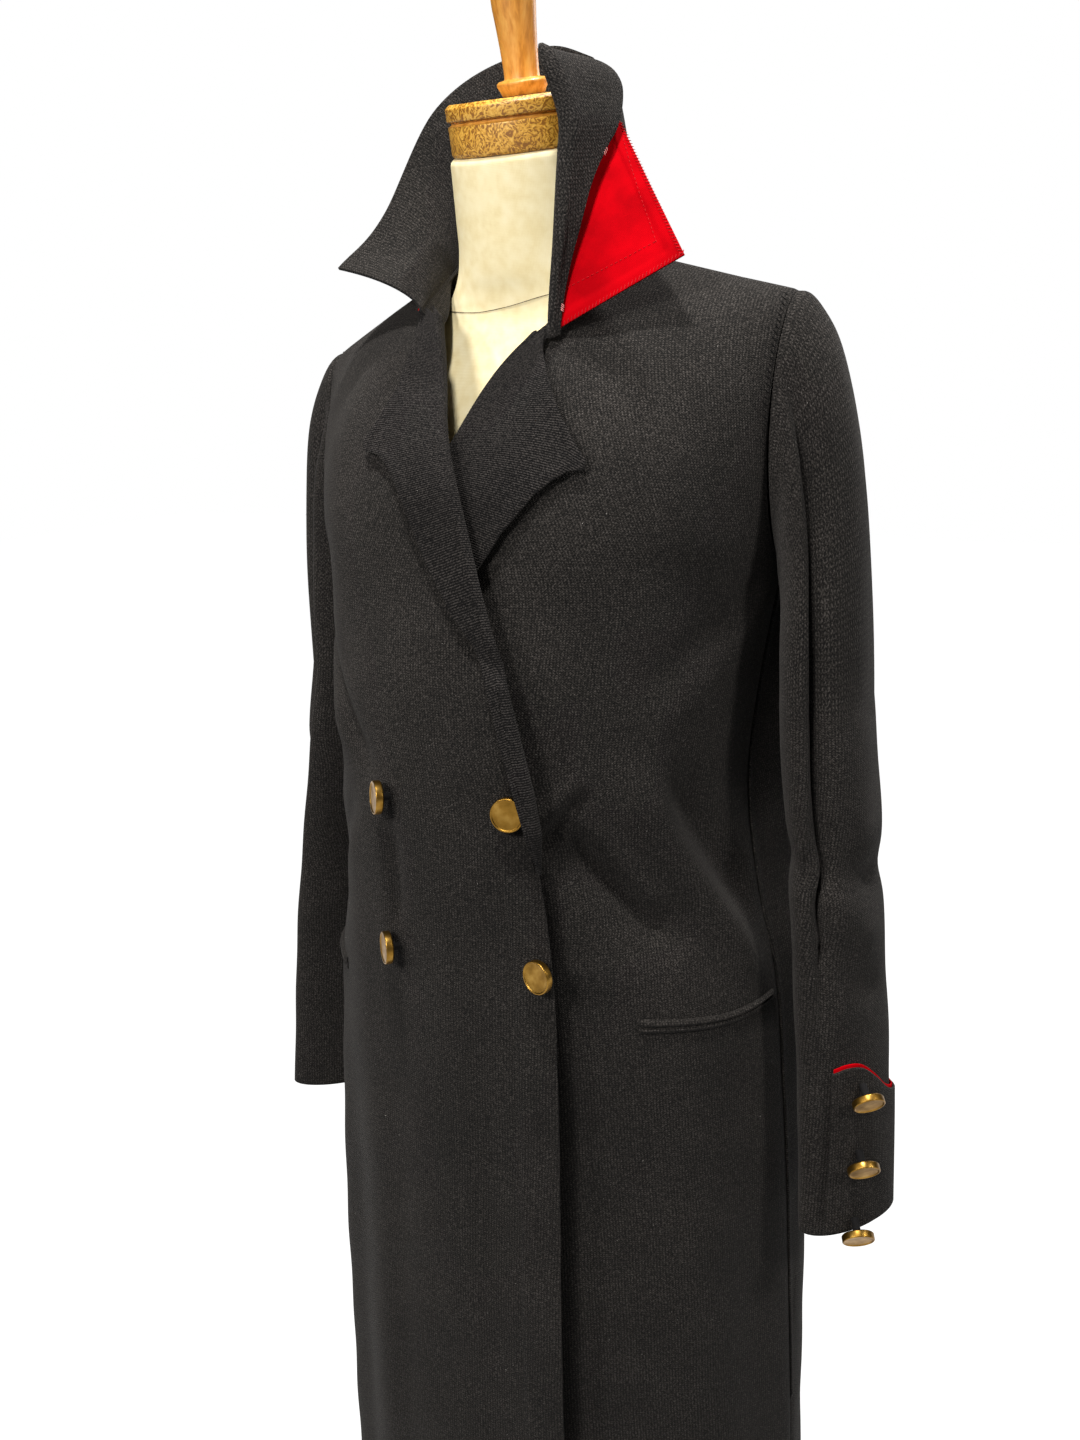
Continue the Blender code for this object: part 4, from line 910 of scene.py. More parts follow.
def make_front(name, side):
    shares = np.concatenate([np.linspace(0.0, 0.1, 24), np.linspace(0.1, 0.9, 56)[1:-1],
                             np.linspace(0.9, 1.0, 12)])
    levels = [row.height for row in LAPELS[side]]
    upper = np.concatenate([np.linspace(low, high, int(np.ceil((high - low) / 0.0045)) + 1)[:-1]
                            for low, high in zip(levels, levels[1:])] + [levels[-1:]])
    heights = np.concatenate([np.linspace(HEM, BREAK, 140)[:-1], upper])
    panel = front_skin(side, shares[None, :], heights[:, None])
    u, v = measure(panel)
    u = u - u[:, -1:]
    first, wide = len(heights) - len(upper), len(shares)
    turned = lapel_grid(side, upper, panel[first:, 0])
    joined = np.concatenate([panel[first:, :1], turned], axis=1)
    across, _ = measure(joined)
    faces, corners = quads(*panel.shape[:2]), corners_of(u, v)

    count = turned.shape[1]
    number = panel.shape[0] * wide + np.arange(turned.shape[0] * count).reshape(turned.shape[:2])
    number = np.concatenate([((first + np.arange(len(upper))) * wide)[:, None], number], axis=1)
    lapel_faces = np.stack([number[:-1, 1:], number[:-1, :-1], number[1:, :-1], number[1:, 1:]], -1)
    lapel_faces = lapel_faces.reshape(-1, 4)
    lapel_u, lapel_v = u[first:, :1] - across, np.broadcast_to(v[first:, :1], across.shape)
    both = np.stack([lapel_u, lapel_v], -1)
    lapel_corners = np.stack([both[:-1, 1:], both[:-1, :-1], both[1:, :-1], both[1:, 1:]], -2)
    lapel_corners = lapel_corners.reshape(-1, 4, 2)
    finish_of = np.concatenate([np.zeros(len(faces)), np.ones(len(lapel_faces))])
    return cloth(name, np.concatenate([panel.reshape(-1, 3), turned.reshape(-1, 3)]),
                 np.concatenate([faces, lapel_faces]), np.concatenate([corners, lapel_corners]), CLOTH,
                 [KNIT, KNIT_BACK], finish_of, flip=side < 0)


front_left, left_area = make_front("front_left", 1)
front_right, right_area = make_front("front_right", -1)
settle(front_left, "front_left")
settle(front_right, "front_right")

# %% [markdown]
# ## Sleeves
#
# A sleeve is one closed tube.  Its first rings are drawn in under the edge of the armhole, so that the body
# and the sleeve meet in a groove, and its creases follow the bend of the elbow.

# %% Sleeves
def sleeve_skin(turn, way, side):
    turn, way = same_shape(turn, way)
    base = sleeve_point(turn, way, side)
    height = np.where(way > 1.0, ELBOW_TOP - (way - 1.0), ELBOW_TOP + (1.0 - way) * 0.22)
    middle = np.where((way < 1.0)[..., None], base.mean(axis=1, keepdims=True), hang_middle(height, side))
    normal = normal_on(lambda u, v: sleeve_point(u, v, side), turn, way, base - middle)
    name = "sleeve_left" if side > 0 else "sleeve_right"
    share = (turn / (2.0 * pi) + 0.5) % 1.0 - 0.5
    lift = sum(crease_depth(name, share + lap, height) for lap in (-1.0, 0.0, 1.0))
    lift = (lift + ripple(np.sin(turn) * 0.05, height, 2.2 + side)) * ease(way / 0.25)
    lift = lift * ease((height - 0.70) / 0.12)
    return base + (lift + seam_dip(way * 0.10, 0.0012))[..., None] * normal


def make_sleeve(name, side):
    turns = np.radians(np.arange(0.0, 360.0, 3.75))
    ways = np.concatenate([np.linspace(0.0, 0.1, 8), np.linspace(0.1, 1.0, 40)[1:],
                           1.0 + np.linspace(0.0, ELBOW_TOP - CUFF, 84)[1:]])
    points = sleeve_skin(turns[None, :], ways[:, None], side)
    u, v = measure(points, closed=True)
    return cloth(name, points.reshape(-1, 3), quads(*points.shape[:2], closed=True), corners_of(u, -v), CLOTH,
                 [KNIT], flip=side < 0)


sleeve_left, sleeve_left_area = make_sleeve("sleeve_left", 1.0)
sleeve_right, sleeve_right_area = make_sleeve("sleeve_right", -1.0)
settle(sleeve_left, "sleeve_left")
settle(sleeve_right, "sleeve_right")

# %% [markdown]
# ## Collar and its red facing
#
# The collar is one strip round the neck.  On the left its front edge is folded outwards into a black border,
# and the red facing shows from under it as a triangle.  The strip starts a little below the neck seam, so no
# light passes between it and the fronts.  On the right its foot turns in towards the neck, as the photograph
# shows cloth there.

# %% Collar
TURNBACK = chart(
    "part width",
    (0.00, 0.0040), (0.27, 0.0125), (0.50, 0.0270), (0.60, 0.0395), (0.72, 0.0570), (0.85, 0.0680),
    (1.00, 0.0680),
)
TURNBACK_FOLD = 0.0046
NECK_MIDDLE, FOOT_REACH, FOOT_DROP = (0.0, -0.015, 0.0), 0.013, 0.5   # the right wing's foot turns in by this
FOOT_RISE, FOOT_FROM, FOOT_EASE = 0.06, 0.55, 0.40
NECK_RUN = float(np.linalg.norm(neck_point(1.0, np.array(1.0)) - neck_point(1.0, np.array(0.7))) / 0.3)


def collar_grid():
    rows = np.concatenate([[-FOOT_RISE, -FOOT_RISE / 2.0], np.linspace(0.0, 1.0, 44)])
    part, rise = np.meshgrid(np.linspace(0.0, 1.0, 60), rows)
    wave = (0.0012 * np.sin(19.0 * part + 1.0) * np.sin(5.0 * rise + 0.6) * ease(rise / 0.3))[..., None]
    right = wing_skin(OPEN_WING, -1.0, part, rise, wave)
    inward = unit((np.array(NECK_MIDDLE) - right) * (1.0, 1.0, 0.0))
    foot = FOOT_REACH * ease(-rise / FOOT_RISE) * ease((part - FOOT_FROM) / FOOT_EASE)
    right = right + foot[..., None] * (inward + (0.0, 0.0, -FOOT_DROP))
    left = wing_skin(UPRIGHT_WING, 1.0, part, rise, wave)
    width = along(TURNBACK, "width", rows)
    ends = np.ones_like(rows)
    normal = wing_normal(UPRIGHT_WING, 1.0, ends, rows)
    ahead = unit(left[:, -1] - wing_point(UPRIGHT_WING, 1.0, ends - 0.05, rows))
    closing = np.sqrt(1.0 - np.clip((rows - 0.84) / 0.16, 0.0, 1.0) ** 2)
    spread = (TURNBACK_FOLD * (0.45 + 0.55 * ease(rows / 0.4)) * closing + 0.0004)[:, None]
    turned = []
    for step in range(1, FOLD_STEPS):
        angle = pi * step / FOLD_STEPS
        turned.append(left[:, -1] + spread * ((1.0 - cos(angle)) * normal + sin(angle) * ahead))
    for back_share in np.linspace(0.0, 1.0, 14):
        place = 1.0 - back_share * width / NECK_RUN
        turned.append(wing_skin(UPRIGHT_WING, 1.0, place, rows, 2.0 * spread * (1.0 + 0.25 * back_share)))
    return np.concatenate([right[:, ::-1], left[:, 1:], np.stack(turned, 1)], axis=1)


collar, collar_area = grid_cloth("collar", collar_grid(), CLOTH, [KNIT], flip=True)
settle(collar, "collar")

# %% Red facings of the collar
RED_RISE_LOW, RED_RISE_HIGH, RED_TUCK, RED_LIFT = -0.03, 0.70, 0.0008, 0.0036
RED_POINT, RED_TOP_LENGTH, RED_RIGHT_FROM = (0.137, -0.056, 1.403), 0.012, 0.50
RED_HEM, RED_HEM_LIFT = 0.0085, 0.0007


def red_left_grid(across, count):
    """Rows of the red triangle from the black border out to its point."""
    rows = np.linspace(RED_RISE_LOW, RED_RISE_HIGH, count)
    place = 1.0 - (along(TURNBACK, "width", rows) + RED_TUCK) / NECK_RUN
    inner = wing_skin(UPRIGHT_WING, 1.0, place, rows, RED_LIFT)
    far_place = place[-1] - RED_TOP_LENGTH / NECK_RUN
    far = wing_skin(UPRIGHT_WING, 1.0, far_place, rows[-1], 2.0 * RED_LIFT)
    climb = np.linspace(0.0, 1.0, count)[:, None]
    outer = (1.0 - climb) * np.array(RED_POINT) + climb * far
    flat = (1.0 - across[None, :, None]) * inner[:, None] + across[None, :, None] * outer[:, None]
    normal = grid_normals(flat, FRONT_HINT)
    length = np.linalg.norm(outer - inner, axis=-1)[:, None]
    low_edge = np.linalg.norm(flat - flat[:1], axis=-1)
    edge = np.minimum((1.0 - across[None, :]) * length, low_edge)
    hem = RED_HEM_LIFT * (1.0 - ease((edge - RED_HEM + 0.001) / 0.002))
    sag = 0.0022 * np.sin(pi * across[None, :]) * np.sin(pi * climb)
    return flat + (hem - sag)[..., None] * normal


points = red_left_grid(np.linspace(0.0, 1.0, 48), 64)
red_left, red_left_area = grid_cloth("collar_facing_left", points, FACING, [RED])
settle(red_left, "collar_facing_left")

part, rise = np.meshgrid(np.linspace(RED_RIGHT_FROM, 0.975, 40), np.linspace(0.0, 0.95, 40))
points = wing_skin(OPEN_WING, -1.0, part, rise, CLOTH / 2 + FACING / 2 + 0.0012)
red_right, red_right_area = grid_cloth("collar_facing_right", points, FACING, [RED])
settle(red_right, "collar_facing_right")

# %% [markdown]
# ## Pockets and cuffs
#
# A pocket is a slanting cut with two narrow lips of knit: a strip on the front's own surface with a groove
# down its middle, whose faces are drawn in a darker knit as painted shade.  A cuff flap is a curved piece
# laid over the outer side of the sleeve, whose arched top edge falls to the back and shows a line of its red
# lining.

# %% Pocket lips
POCKET = chart(
    "way share height",
    (0.0, 0.585, 0.890), (0.5, 0.785, 0.884), (1.0, 0.970, 0.885),
)
WELT_HEIGHT, WELT, LIP = 0.010, 0.0012, 0.0030


def make_pocket(name, side):
    way, rise = np.meshgrid(np.linspace(0.0, 1.0, 64), np.linspace(0.0, 1.0, 33))
    height = along(POCKET, "height", way) + WELT_HEIGHT * (rise - 0.5) * (1.0 - 0.45 * way)
    lips = LIP * np.abs(np.sin(2.0 * pi * rise)) ** 0.8 * (1.0 - 0.25 * (rise < 0.5))
    out = CLOTH / 2.0 - WELT / 2.0 + 0.0003 + lips * (0.35 + 0.65 * ease(np.minimum(way, 1.0 - way) / 0.04))
    points = front_skin(side, along(POCKET, "share", way), height, out)
    middle = (rise[:-1, :-1] + rise[1:, 1:]) / 2.0
    # faces down the middle of the groove get the darkened knit: painted shade in the slit
    painted_slit_shade = (np.abs(middle - 0.5) < 0.075) & (np.abs(way[:-1, :-1] - 0.5) < 0.48)
    return grid_cloth(name, points, WELT, [KNIT, KNIT_PAINTED_SHADE], painted_slit_shade.ravel(), flip=side < 0)


for label, side, under in (("left", 1, "front_left_cloth"), ("right", -1, "front_right_cloth")):
    welt, welt_area = make_pocket("pocket_welt_" + label, side)
    settle(welt, "pocket_welt_" + label)

# %% Cuff flaps and their linings
SIDES = (("left", 1.0), ("right", -1.0))
FLAP_FOOT, FLAP, FLAP_LINING_RISE = 0.7125, 0.0018, 0.0022
FLAP_TOP = chart(
    "turn height",
    (-100.0, 0.800), (-60.0, 0.801), (-25.0, 0.811), (-5.0, 0.825), (15.0, 0.837), (32.0, 0.840),
    (50.0, 0.838),
)
LINING_OUT = CLOTH / 2 + FACING / 2 + 0.0009
FLAP_OUT = LINING_OUT + FACING / 2 + FLAP / 2 + 0.0003


def flap_grid(side, turns, rises, out, more=0.0):
    turn, rise = np.meshgrid(turns, rises)
    height = FLAP_FOOT + (along(FLAP_TOP, "height", turn) + more - FLAP_FOOT) * rise
    turn = np.radians(turn)
    base = hang_ring(turn, height, side)
    normal = normal_on(lambda u, v: hang_ring(u, v, side), turn, height, base - hang_middle(height, side))
    return base + out * normal


for label, side in SIDES:
    points = flap_grid(side, np.linspace(50.0, -100.0, 72), np.linspace(0.0, 1.0, 44), FLAP_OUT)
    flap, flap_area = grid_cloth("cuff_flap_" + label, points, FLAP, [KNIT], flip=side > 0)
    settle(flap, "cuff_flap_" + label)
    points = flap_grid(side, np.linspace(47.0, -97.0, 72), np.linspace(0.45, 1.0, 26), LINING_OUT,
                       FLAP_LINING_RISE)
    lining, lining_area = grid_cloth("cuff_flap_lining_" + label, points, FACING, [RED], flip=side > 0)
    settle(lining, "cuff_flap_lining_" + label)

# %% [markdown]
# ## Turned pieces
#
# Buttons, cap, finial, base and pole are all bodies of revolution: a lathe hand would draw half of the
# section and spin it.  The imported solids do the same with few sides, so they look cut from facets close up.
# Here the same profiles are spun again with many sides, and Bevel softens the turned edges so that each one
# catches a thin light.

# %% Spinning a profile
def capped(name, rings, ends, finishes, finish_of, rounding):
    """Closed piece through rings of points, with a fan of faces to one point at each end."""
    count, around = rings.shape[:2]
    points = np.concatenate([[ends[0]], rings.reshape(-1, 3), [ends[1]]])
    here, last = np.arange(around), len(points) - 1
    after = (here + 1) % around
    foot = np.stack([np.zeros_like(here), 1 + after, 1 + here], -1)
    head = np.stack([np.full_like(here, last), last - around + here, last - around + after], -1)
    mesh = bpy.data.meshes.new(name)
    sides = quads(count, around, closed=True) + 1
    mesh.from_pydata(points.tolist(), [], foot.tolist() + sides.tolist() + head.tolist())
    for finish in finishes:
        mesh.materials.append(finish)
    mesh.polygons.foreach_set("material_index", np.repeat(np.asarray(finish_of, dtype=np.int32), around))
    mesh.shade_smooth()
    piece = linked(name, mesh)
    soften = piece.modifiers.new("soften", 'BEVEL')
    soften.width, soften.segments, soften.limit_method = rounding, 3, 'ANGLE'
    soften.angle_limit = radians(32.0)
    return baked(piece)


def spun(name, profile, finishes, finish_of, place, segments, rounding):
    """Turned piece: (radius, height) pairs from axis to axis, spun round Z and put in place."""
    turn = 2.0 * pi * np.arange(segments) / segments
    rings = np.array([xyz(r * np.cos(turn), r * np.sin(turn), z) for r, z in profile[1:-1]])
    ends = [(0.0, 0.0, profile[0][1]), (0.0, 0.0, profile[-1][1])]
    piece = capped(name, rings, ends, finishes, finish_of, rounding)
    piece.data.transform(place)
    return piece


def stand_for(piece, node):
    """Let a turned piece take the place of its solid."""
    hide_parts(node)
    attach(piece, "root")
    print(f"{piece.name}: {len(piece.data.polygons)} faces")


print("lathe ready")

# %% [markdown]
# ## Brass buttons
#
# Each button is a turned brass disc, 23.6 mm across, with a thin raised rim round a slightly dished face.  It
# is sewn on through a wrapped shank of black thread, so only the disc shines.  Old brass is brown rather than
# yellow, and satin, with a slow change of tone and faint scratches.

# %% Brass and thread
TWIST = 0.0005            # length of one turn of a thread's twist


def brass_finish():
    # lacquered antique brass: brown gold, satin, with a slow change of tone and faint hair scratches
    finish, tree, shader = start_finish("antique_brass", Metallic=1.0)
    where = object_place(tree)
    patch = noise(tree, where, 1.0 / 0.008, 4.0)
    scratch = noise(tree, where, 1.0 / 0.0007, 2.0)
    colour = shade_ramp(tree, patch, (0.30, "#74551f"), (0.52, "#8e6a2c"), (0.72, "#a68240"))
    rough = add(tree, 'ShaderNodeMapRange', [("Value", patch), ("From Min", 0.3), ("From Max", 0.7),
                                             ("To Min", 0.44), ("To Max", 0.30)])
    wire(tree, shader, Base_Color=colour, Roughness=rough, Normal=bump(tree, 0.06, 0.0001, scratch))
    return finish


def thread_finish(name, tints):
    # spun sewing thread: matt, with the slant of its twist, 0.5 mm from turn to turn
    finish, tree, shader = start_finish(name, Roughness=0.85, Specular_IOR_Level=0.2)
    wave = add(tree, 'ShaderNodeTexWave', bands_direction='DIAGONAL',
               wires=[("Vector", object_place(tree)), ("Scale", 2.0 * pi / TWIST / 20.0)])
    colour = shade_ramp(tree, (wave, "Fac"), (0.2, tints[0]), (0.8, tints[1]))
    wire(tree, shader, Base_Color=colour, Normal=bump(tree, 0.4, 0.0002, (wave, "Fac")))
    return finish


BRASS = brass_finish()
BLACK_THREAD = thread_finish("black_sewing_thread", ("#060505", "#121010"))
print("buttons of", BRASS.name)

# %% Buttons
BUTTON_RADIUS, BUTTON_DEPTH, SHANK_RADIUS = 0.0118, 0.0056, 0.0028
FRONT_BUTTONS = chart(
    "name out height yaw pitch stand",
    ("button_front_upper_left", 0.0560, 1.053, 12.0, 2.0, 0.0064),
    ("button_front_lower_left", 0.0725, 0.940, -14.0, 2.0, 0.0105),
    ("button_front_upper_right", -0.0400, 1.054, -42.0, 4.0, 0.0105),
    ("button_front_lower_right", -0.0440, 0.940, -42.0, 2.0, 0.0105),
)
CUFF_TURN, CUFF_YAW, CUFF_PITCH, CUFF_STAND = 20.0, 20.0, -38.0, 0.0120
CUFF_PRESS = 0.0006       # the shanks of the cuff buttons go into the flap by this
CUFF_BUTTONS = (("upper", 0.816), ("middle", 0.765), ("lower", 0.7125))


def aim(yaw, pitch):
    """Direction from a yaw about Z, 0 to the front, and a pitch above the level, both in degrees."""
    yaw, pitch = radians(yaw), radians(pitch)
    return np.array([sin(yaw) * cos(pitch), -cos(yaw) * cos(pitch), sin(pitch)])


def make_button(name, place, axis, cloth_normal, clear):
    """Disc with a dished face and a rim, on a thread shank down to the cloth."""
    lean = float(np.dot(axis, cloth_normal))
    foot = -(clear - SHANK_RADIUS * (1.0 - lean * lean) ** 0.5) / lean
    low, high, wide = -BUTTON_DEPTH / 2.0, BUTTON_DEPTH / 2.0, BUTTON_RADIUS
    profile = ((0.0, foot), (SHANK_RADIUS, foot), (SHANK_RADIUS, low), (wide - 0.0009, low),
               (wide, low + 0.0009), (wide, high - 0.0005), (wide - 0.0004, high), (wide - 0.0011, high),
               (wide - 0.0016, high - 0.0006), (0.0070, high - 0.0009), (0.0, high - 0.0010))
    turn = Vector((0.0, 0.0, 1.0)).rotation_difference(Vector(axis))
    piece = spun(name + "_disc", profile, [BLACK_THREAD, BRASS], (0, 0, 1, 1, 1, 1, 1, 1, 1, 1),
                 Matrix.Translation(place) @ turn.to_matrix().to_4x4(), segments=56, rounding=0.00022)
    stand_for(piece, name)


for row in FRONT_BUTTONS:
    shares = np.linspace(0.0, 1.0, 400)
    share = np.interp(-row.out, -front_point(-1, shares, row.height)[:, 0], shares)
    out = normal_on(lambda u, v: front_point(-1, u, v), np.array(share), np.array(row.height),
                    np.array([-0.5, -1.0, 0.0]))
    make_button(row.name, front_point(-1, share, row.height) + row.stand * out, aim(row.yaw, row.pitch), out,
                row.stand - CLOTH / 2.0)
for label, side in SIDES:
    for level, height in CUFF_BUTTONS:
        turn, height = np.array(radians(CUFF_TURN)), np.array(height)
        sewn_at = hang_ring(turn, height, side)
        out = normal_on(lambda u, v: hang_ring(u, v, side), turn, height, sewn_at - hang_middle(height, side),
                        step=1e-4)
        yaw = np.degrees(np.arctan2(out[0], -out[1])) - side * CUFF_YAW
        place = sewn_at + (FLAP_OUT + FLAP / 2.0 + CUFF_STAND - CUFF_PRESS) * out
        make_button(f"button_cuff_{level}_{label}", place, aim(yaw, CUFF_PITCH), out, CUFF_STAND)

# %% [markdown]
# ## Dress form
#
# The form is padded and covered in fine cream linen, so smooth that only a fine crossing of threads, about
# 0.6 mm, shows; they are drawn at 1.0 mm.  Its cap and finial are turned from honey-coloured wood: straight
# grain on the finial, and a curled, burr-like figure on both bands of the cap, with a plain dark groove
# between them.

# %% Linen and wood
LINEN_THREAD = 0.0010     # pitch of the cover's threads, coarsened to show


def linen_finish():
    # plain-woven linen cover: matt, nearly even, slubs a little darker
    finish, tree, shader = start_finish("cream_linen_cover", Roughness=0.92, Specular_IOR_Level=0.15)
    where = object_place(tree)
    pitch = 2.0 * pi / LINEN_THREAD / 20.0
    weft, warp = (add(tree, 'ShaderNodeTexWave', bands_direction=way,
                      wires=[("Vector", where), ("Scale", pitch), ("Distortion", 1.0), ("Detail", 1.0)])
                  for way in ('Z', 'X'))
    cross = maths(tree, 'ADD', (weft, "Fac"), (warp, "Fac"))
    blend = maths(tree, 'MULTIPLY_ADD', cross, 0.06, noise(tree, where, 1.0 / 0.009, 5.0))
    colour = shade_ramp(tree, blend, (0.35, "#eddaa6"), (0.58, "#f4e4b6"), (0.82, "#f9ebc2"))
    wire(tree, shader, Base_Color=colour, Normal=bump(tree, 0.18, 0.0002, cross))
    return finish


def wood_finish(name, stretch, width, curl, stops):
    # oiled wood: warm, satin, darker lines of growth; width is the size of its figure
    finish, tree, shader = start_finish(name, Coat_Weight=0.2, Coat_Roughness=0.25, Specular_IOR_Level=0.4)
    laid = add(tree, 'ShaderNodeMapping', [("Vector", object_place(tree)), ("Scale", stretch)]), 0
    figure = noise(tree, laid, 1.0 / width, 3.0, Distortion=curl)
    pore = noise(tree, laid, 1.0 / 0.0011, 2.0)
    blend = maths(tree, 'MULTIPLY_ADD', pore, 0.25, figure)
    colour = shade_ramp(tree, blend, *stops)
    rough = add(tree, 'ShaderNodeMapRange', [("Value", pore), ("To Min", 0.34), ("To Max", 0.52)])
    wire(tree, shader, Base_Color=colour, Roughness=rough, Normal=bump(tree, 0.12, 0.0002, blend))
    return finish


LINEN = linen_finish()
WOOD = wood_finish("honey_beech", (1.0, 1.0, 0.10), 0.0040, 0.3,
                   ((0.40, "#b0701d"), (0.60, "#cf8c33"), (0.85, "#dfa44a")))
BURR = wood_finish("honey_burr_wood", (1.0, 1.0, 1.0), 0.0062, 3.4,
                   ((0.54, "#8a5714"), (0.63, "#cf9531"), (0.80, "#e6b450")))
print("form finished in", LINEN.name, WOOD.name, "and", BURR.name)

# %% Form and stand
NECK_TOP, NECK_LEAN, NECK_FORE = 1.4830, radians(10.8), -0.0100
FORM = chart(
    "height half_width front back centre",
    (0.800, 0.146, 0.102, 0.104, 0.000),
    (0.812, 0.154, 0.108, 0.110, 0.000),
    (0.870, 0.160, 0.112, 0.116, 0.000),
    (0.950, 0.145, 0.105, 0.108, 0.000),
    (1.040, 0.122, 0.095, 0.092, 0.002),
    (1.120, 0.138, 0.116, 0.096, 0.006),
    (1.200, 0.152, 0.124, 0.104, 0.012),
    (1.270, 0.156, 0.104, 0.106, 0.016),
    (1.320, 0.144, 0.084, 0.092, 0.018),
    (1.350, 0.118, 0.068, 0.070, 0.016),
    (1.372, 0.090, 0.058, 0.056, 0.012),
    (1.386, 0.074, 0.056, 0.052, 0.008),
    (1.398, 0.0650, 0.0550, 0.0510, 0.004),
    (1.415, 0.0595, 0.0540, 0.0510, 0.000),
    (1.440, 0.0580, 0.0535, 0.0515, -0.0040),
    (1.483, 0.0570, 0.0535, 0.0515, -0.0100),
)


def form_point(turn, height):
    """Point of the padded form; its rings tilt with the neck above the shoulders."""
    depth = np.where(np.cos(turn) > 0.0, along(FORM, "front", height), along(FORM, "back", height))
    back_by = -depth * np.cos(turn)
    tilt = np.tan(NECK_LEAN) * ease((height - 1.39) / (NECK_TOP - 1.39))
    return xyz(along(FORM, "half_width", height) * np.sin(turn), along(FORM, "centre", height) + back_by,
               height + tilt * back_by)


ROUNDED = 0.0045          # padding rounds off at the top of the neck
heights = np.concatenate([np.linspace(0.80, 1.33, 90), np.linspace(1.335, NECK_TOP - ROUNDED, 56),
                          NECK_TOP - ROUNDED + ROUNDED * np.sin(np.linspace(0.15, pi / 2.0, 9))])
rings = form_point(np.radians(np.arange(0.0, 360.0, 3.0))[None, :], heights[:, None])
inward = 1.0 - np.sqrt(1.0 - np.clip((heights - NECK_TOP + ROUNDED) / ROUNDED, 0.0, 1.0) ** 2)
centres = rings.mean(axis=1, keepdims=True)
rings = centres + (rings - centres) * (1.0 - inward * ROUNDED / 0.055)[:, None, None]
torso = capped("form_torso_cover", rings, rings[[0, -1]].mean(axis=1), [LINEN], np.zeros(len(rings) + 1),
               rounding=0.0004)
stand_for(torso, "form_torso")

CAP_RADIUS, CAP_HEIGHT, TURNED_GAP = 0.0552, 0.0340, 0.0003
lean = Matrix.Rotation(NECK_LEAN, 4, 'X')
neck, axis = Vector((0.0, NECK_FORE, NECK_TOP)), lean @ Vector((0.0, 0.0, 1.0))
cap = spun("form_neck_cap_turned", (
    (0.0, 0.0), (CAP_RADIUS - 0.0022, 0.0), (CAP_RADIUS - 0.0008, 0.0020), (CAP_RADIUS - 0.0006, 0.0200),
    (CAP_RADIUS - 0.0030, 0.0210), (CAP_RADIUS - 0.0030, 0.0224), (CAP_RADIUS, 0.0234), (CAP_RADIUS, 0.0314),
    (CAP_RADIUS - 0.0030, CAP_HEIGHT), (0.0, CAP_HEIGHT)), [BURR, WOOD], (0, 0, 0, 1, 1, 0, 0, 0, 0),
    Matrix.Translation(neck + axis * TURNED_GAP) @ lean, segments=96, rounding=0.0007)
stand_for(cap, "form_neck_cap")
finial = spun("form_finial_turned", (
    (0.0, 0.0), (0.0145, 0.0), (0.0158, 0.0030), (0.0178, 0.0068), (0.0178, 0.0084), (0.0160, 0.0098),
    (0.0122, 0.0104), (0.0121, 0.0160), (0.0128, 0.0300), (0.0140, 0.0450), (0.0149, 0.0540),
    (0.0152, 0.0620), (0.0150, 0.0700), (0.0142, 0.0745), (0.0128, 0.0782), (0.0108, 0.0812),
    (0.0080, 0.0834), (0.0042, 0.0847), (0.0, 0.0850)), [WOOD], np.zeros(18),
    Matrix.Translation(neck + axis * (2.0 * TURNED_GAP + CAP_HEIGHT)) @ lean, segments=64,
    rounding=0.0004)
stand_for(finial, "form_finial")

BASE_RADIUS, BASE_HEIGHT, POLE_RADIUS, POLE_TOP = 0.190, 0.032, 0.0175, 0.800
base = spun("stand_base_turned", (
    (0.0, 0.0), (BASE_RADIUS - 0.003, 0.0), (BASE_RADIUS, 0.003), (BASE_RADIUS, 0.018),
    (BASE_RADIUS - 0.0022, 0.0225), (BASE_RADIUS - 0.006, 0.026), (BASE_RADIUS - 0.012, 0.0292),
    (BASE_RADIUS - 0.022, BASE_HEIGHT), (0.0, BASE_HEIGHT)), [WOOD], np.zeros(8), Matrix.Identity(4),
    segments=128, rounding=0.0012)
stand_for(base, "stand_base")
pole = spun("stand_pole_turned", (
    (0.0, BASE_HEIGHT + TURNED_GAP), (POLE_RADIUS, BASE_HEIGHT + TURNED_GAP),
    (POLE_RADIUS, POLE_TOP - TURNED_GAP), (0.0, POLE_TOP - TURNED_GAP)), [WOOD], np.zeros(3),
    Matrix.Identity(4), segments=64, rounding=0.0008)
stand_for(pole, "stand_pole")

# %% [markdown]
# ## Sewing
#
# Thread is what makes a garment look sewn: slanting overcast stitches hold the red facing's edge, a row of
# stitches follows the front band, fashioning marks run beside the armhole, a fine dark thread circles the
# form's neck and three small tacks sit on the collar.  Each is one small stitch repeated along a path, which
# is what Geometry Nodes do well: the path is resampled at the pitch, a stitch is set on every point, turned
# into the path and flat on the cloth, and then slanted.

# %% Stitch nodes
SOCKETS = {"Path": 'Geometry', "Cloth": 'Geometry', "Seed": 'Int', "Thread": 'Material', "Fibre": 'Material'}


def open_tree(name, inputs, result):
    """Geometry node tree and its input node; an input is a float unless SOCKETS says otherwise."""
    tree = bpy.data.node_groups.new(name, 'GeometryNodeTree')
    for label in inputs:
        kind = 'NodeSocket' + SOCKETS.get(label, 'Float')
        tree.interface.new_socket(label, in_out='INPUT', socket_type=kind)
    tree.interface.new_socket(result, in_out='OUTPUT', socket_type='NodeSocketGeometry')
    return tree, add(tree, 'NodeGroupInput')


def close_tree(tree, instances, material, result):
    """Make the instances real, give them their material and hand them out."""
    real = add(tree, 'GeometryNodeRealizeInstances', [(0, (instances, 0))])
    done = add(tree, 'GeometryNodeSetMaterial', [("Geometry", (real, 0)), ("Material", material)])
    add(tree, 'NodeGroupOutput', [(result, (done, 0))])
    return tree


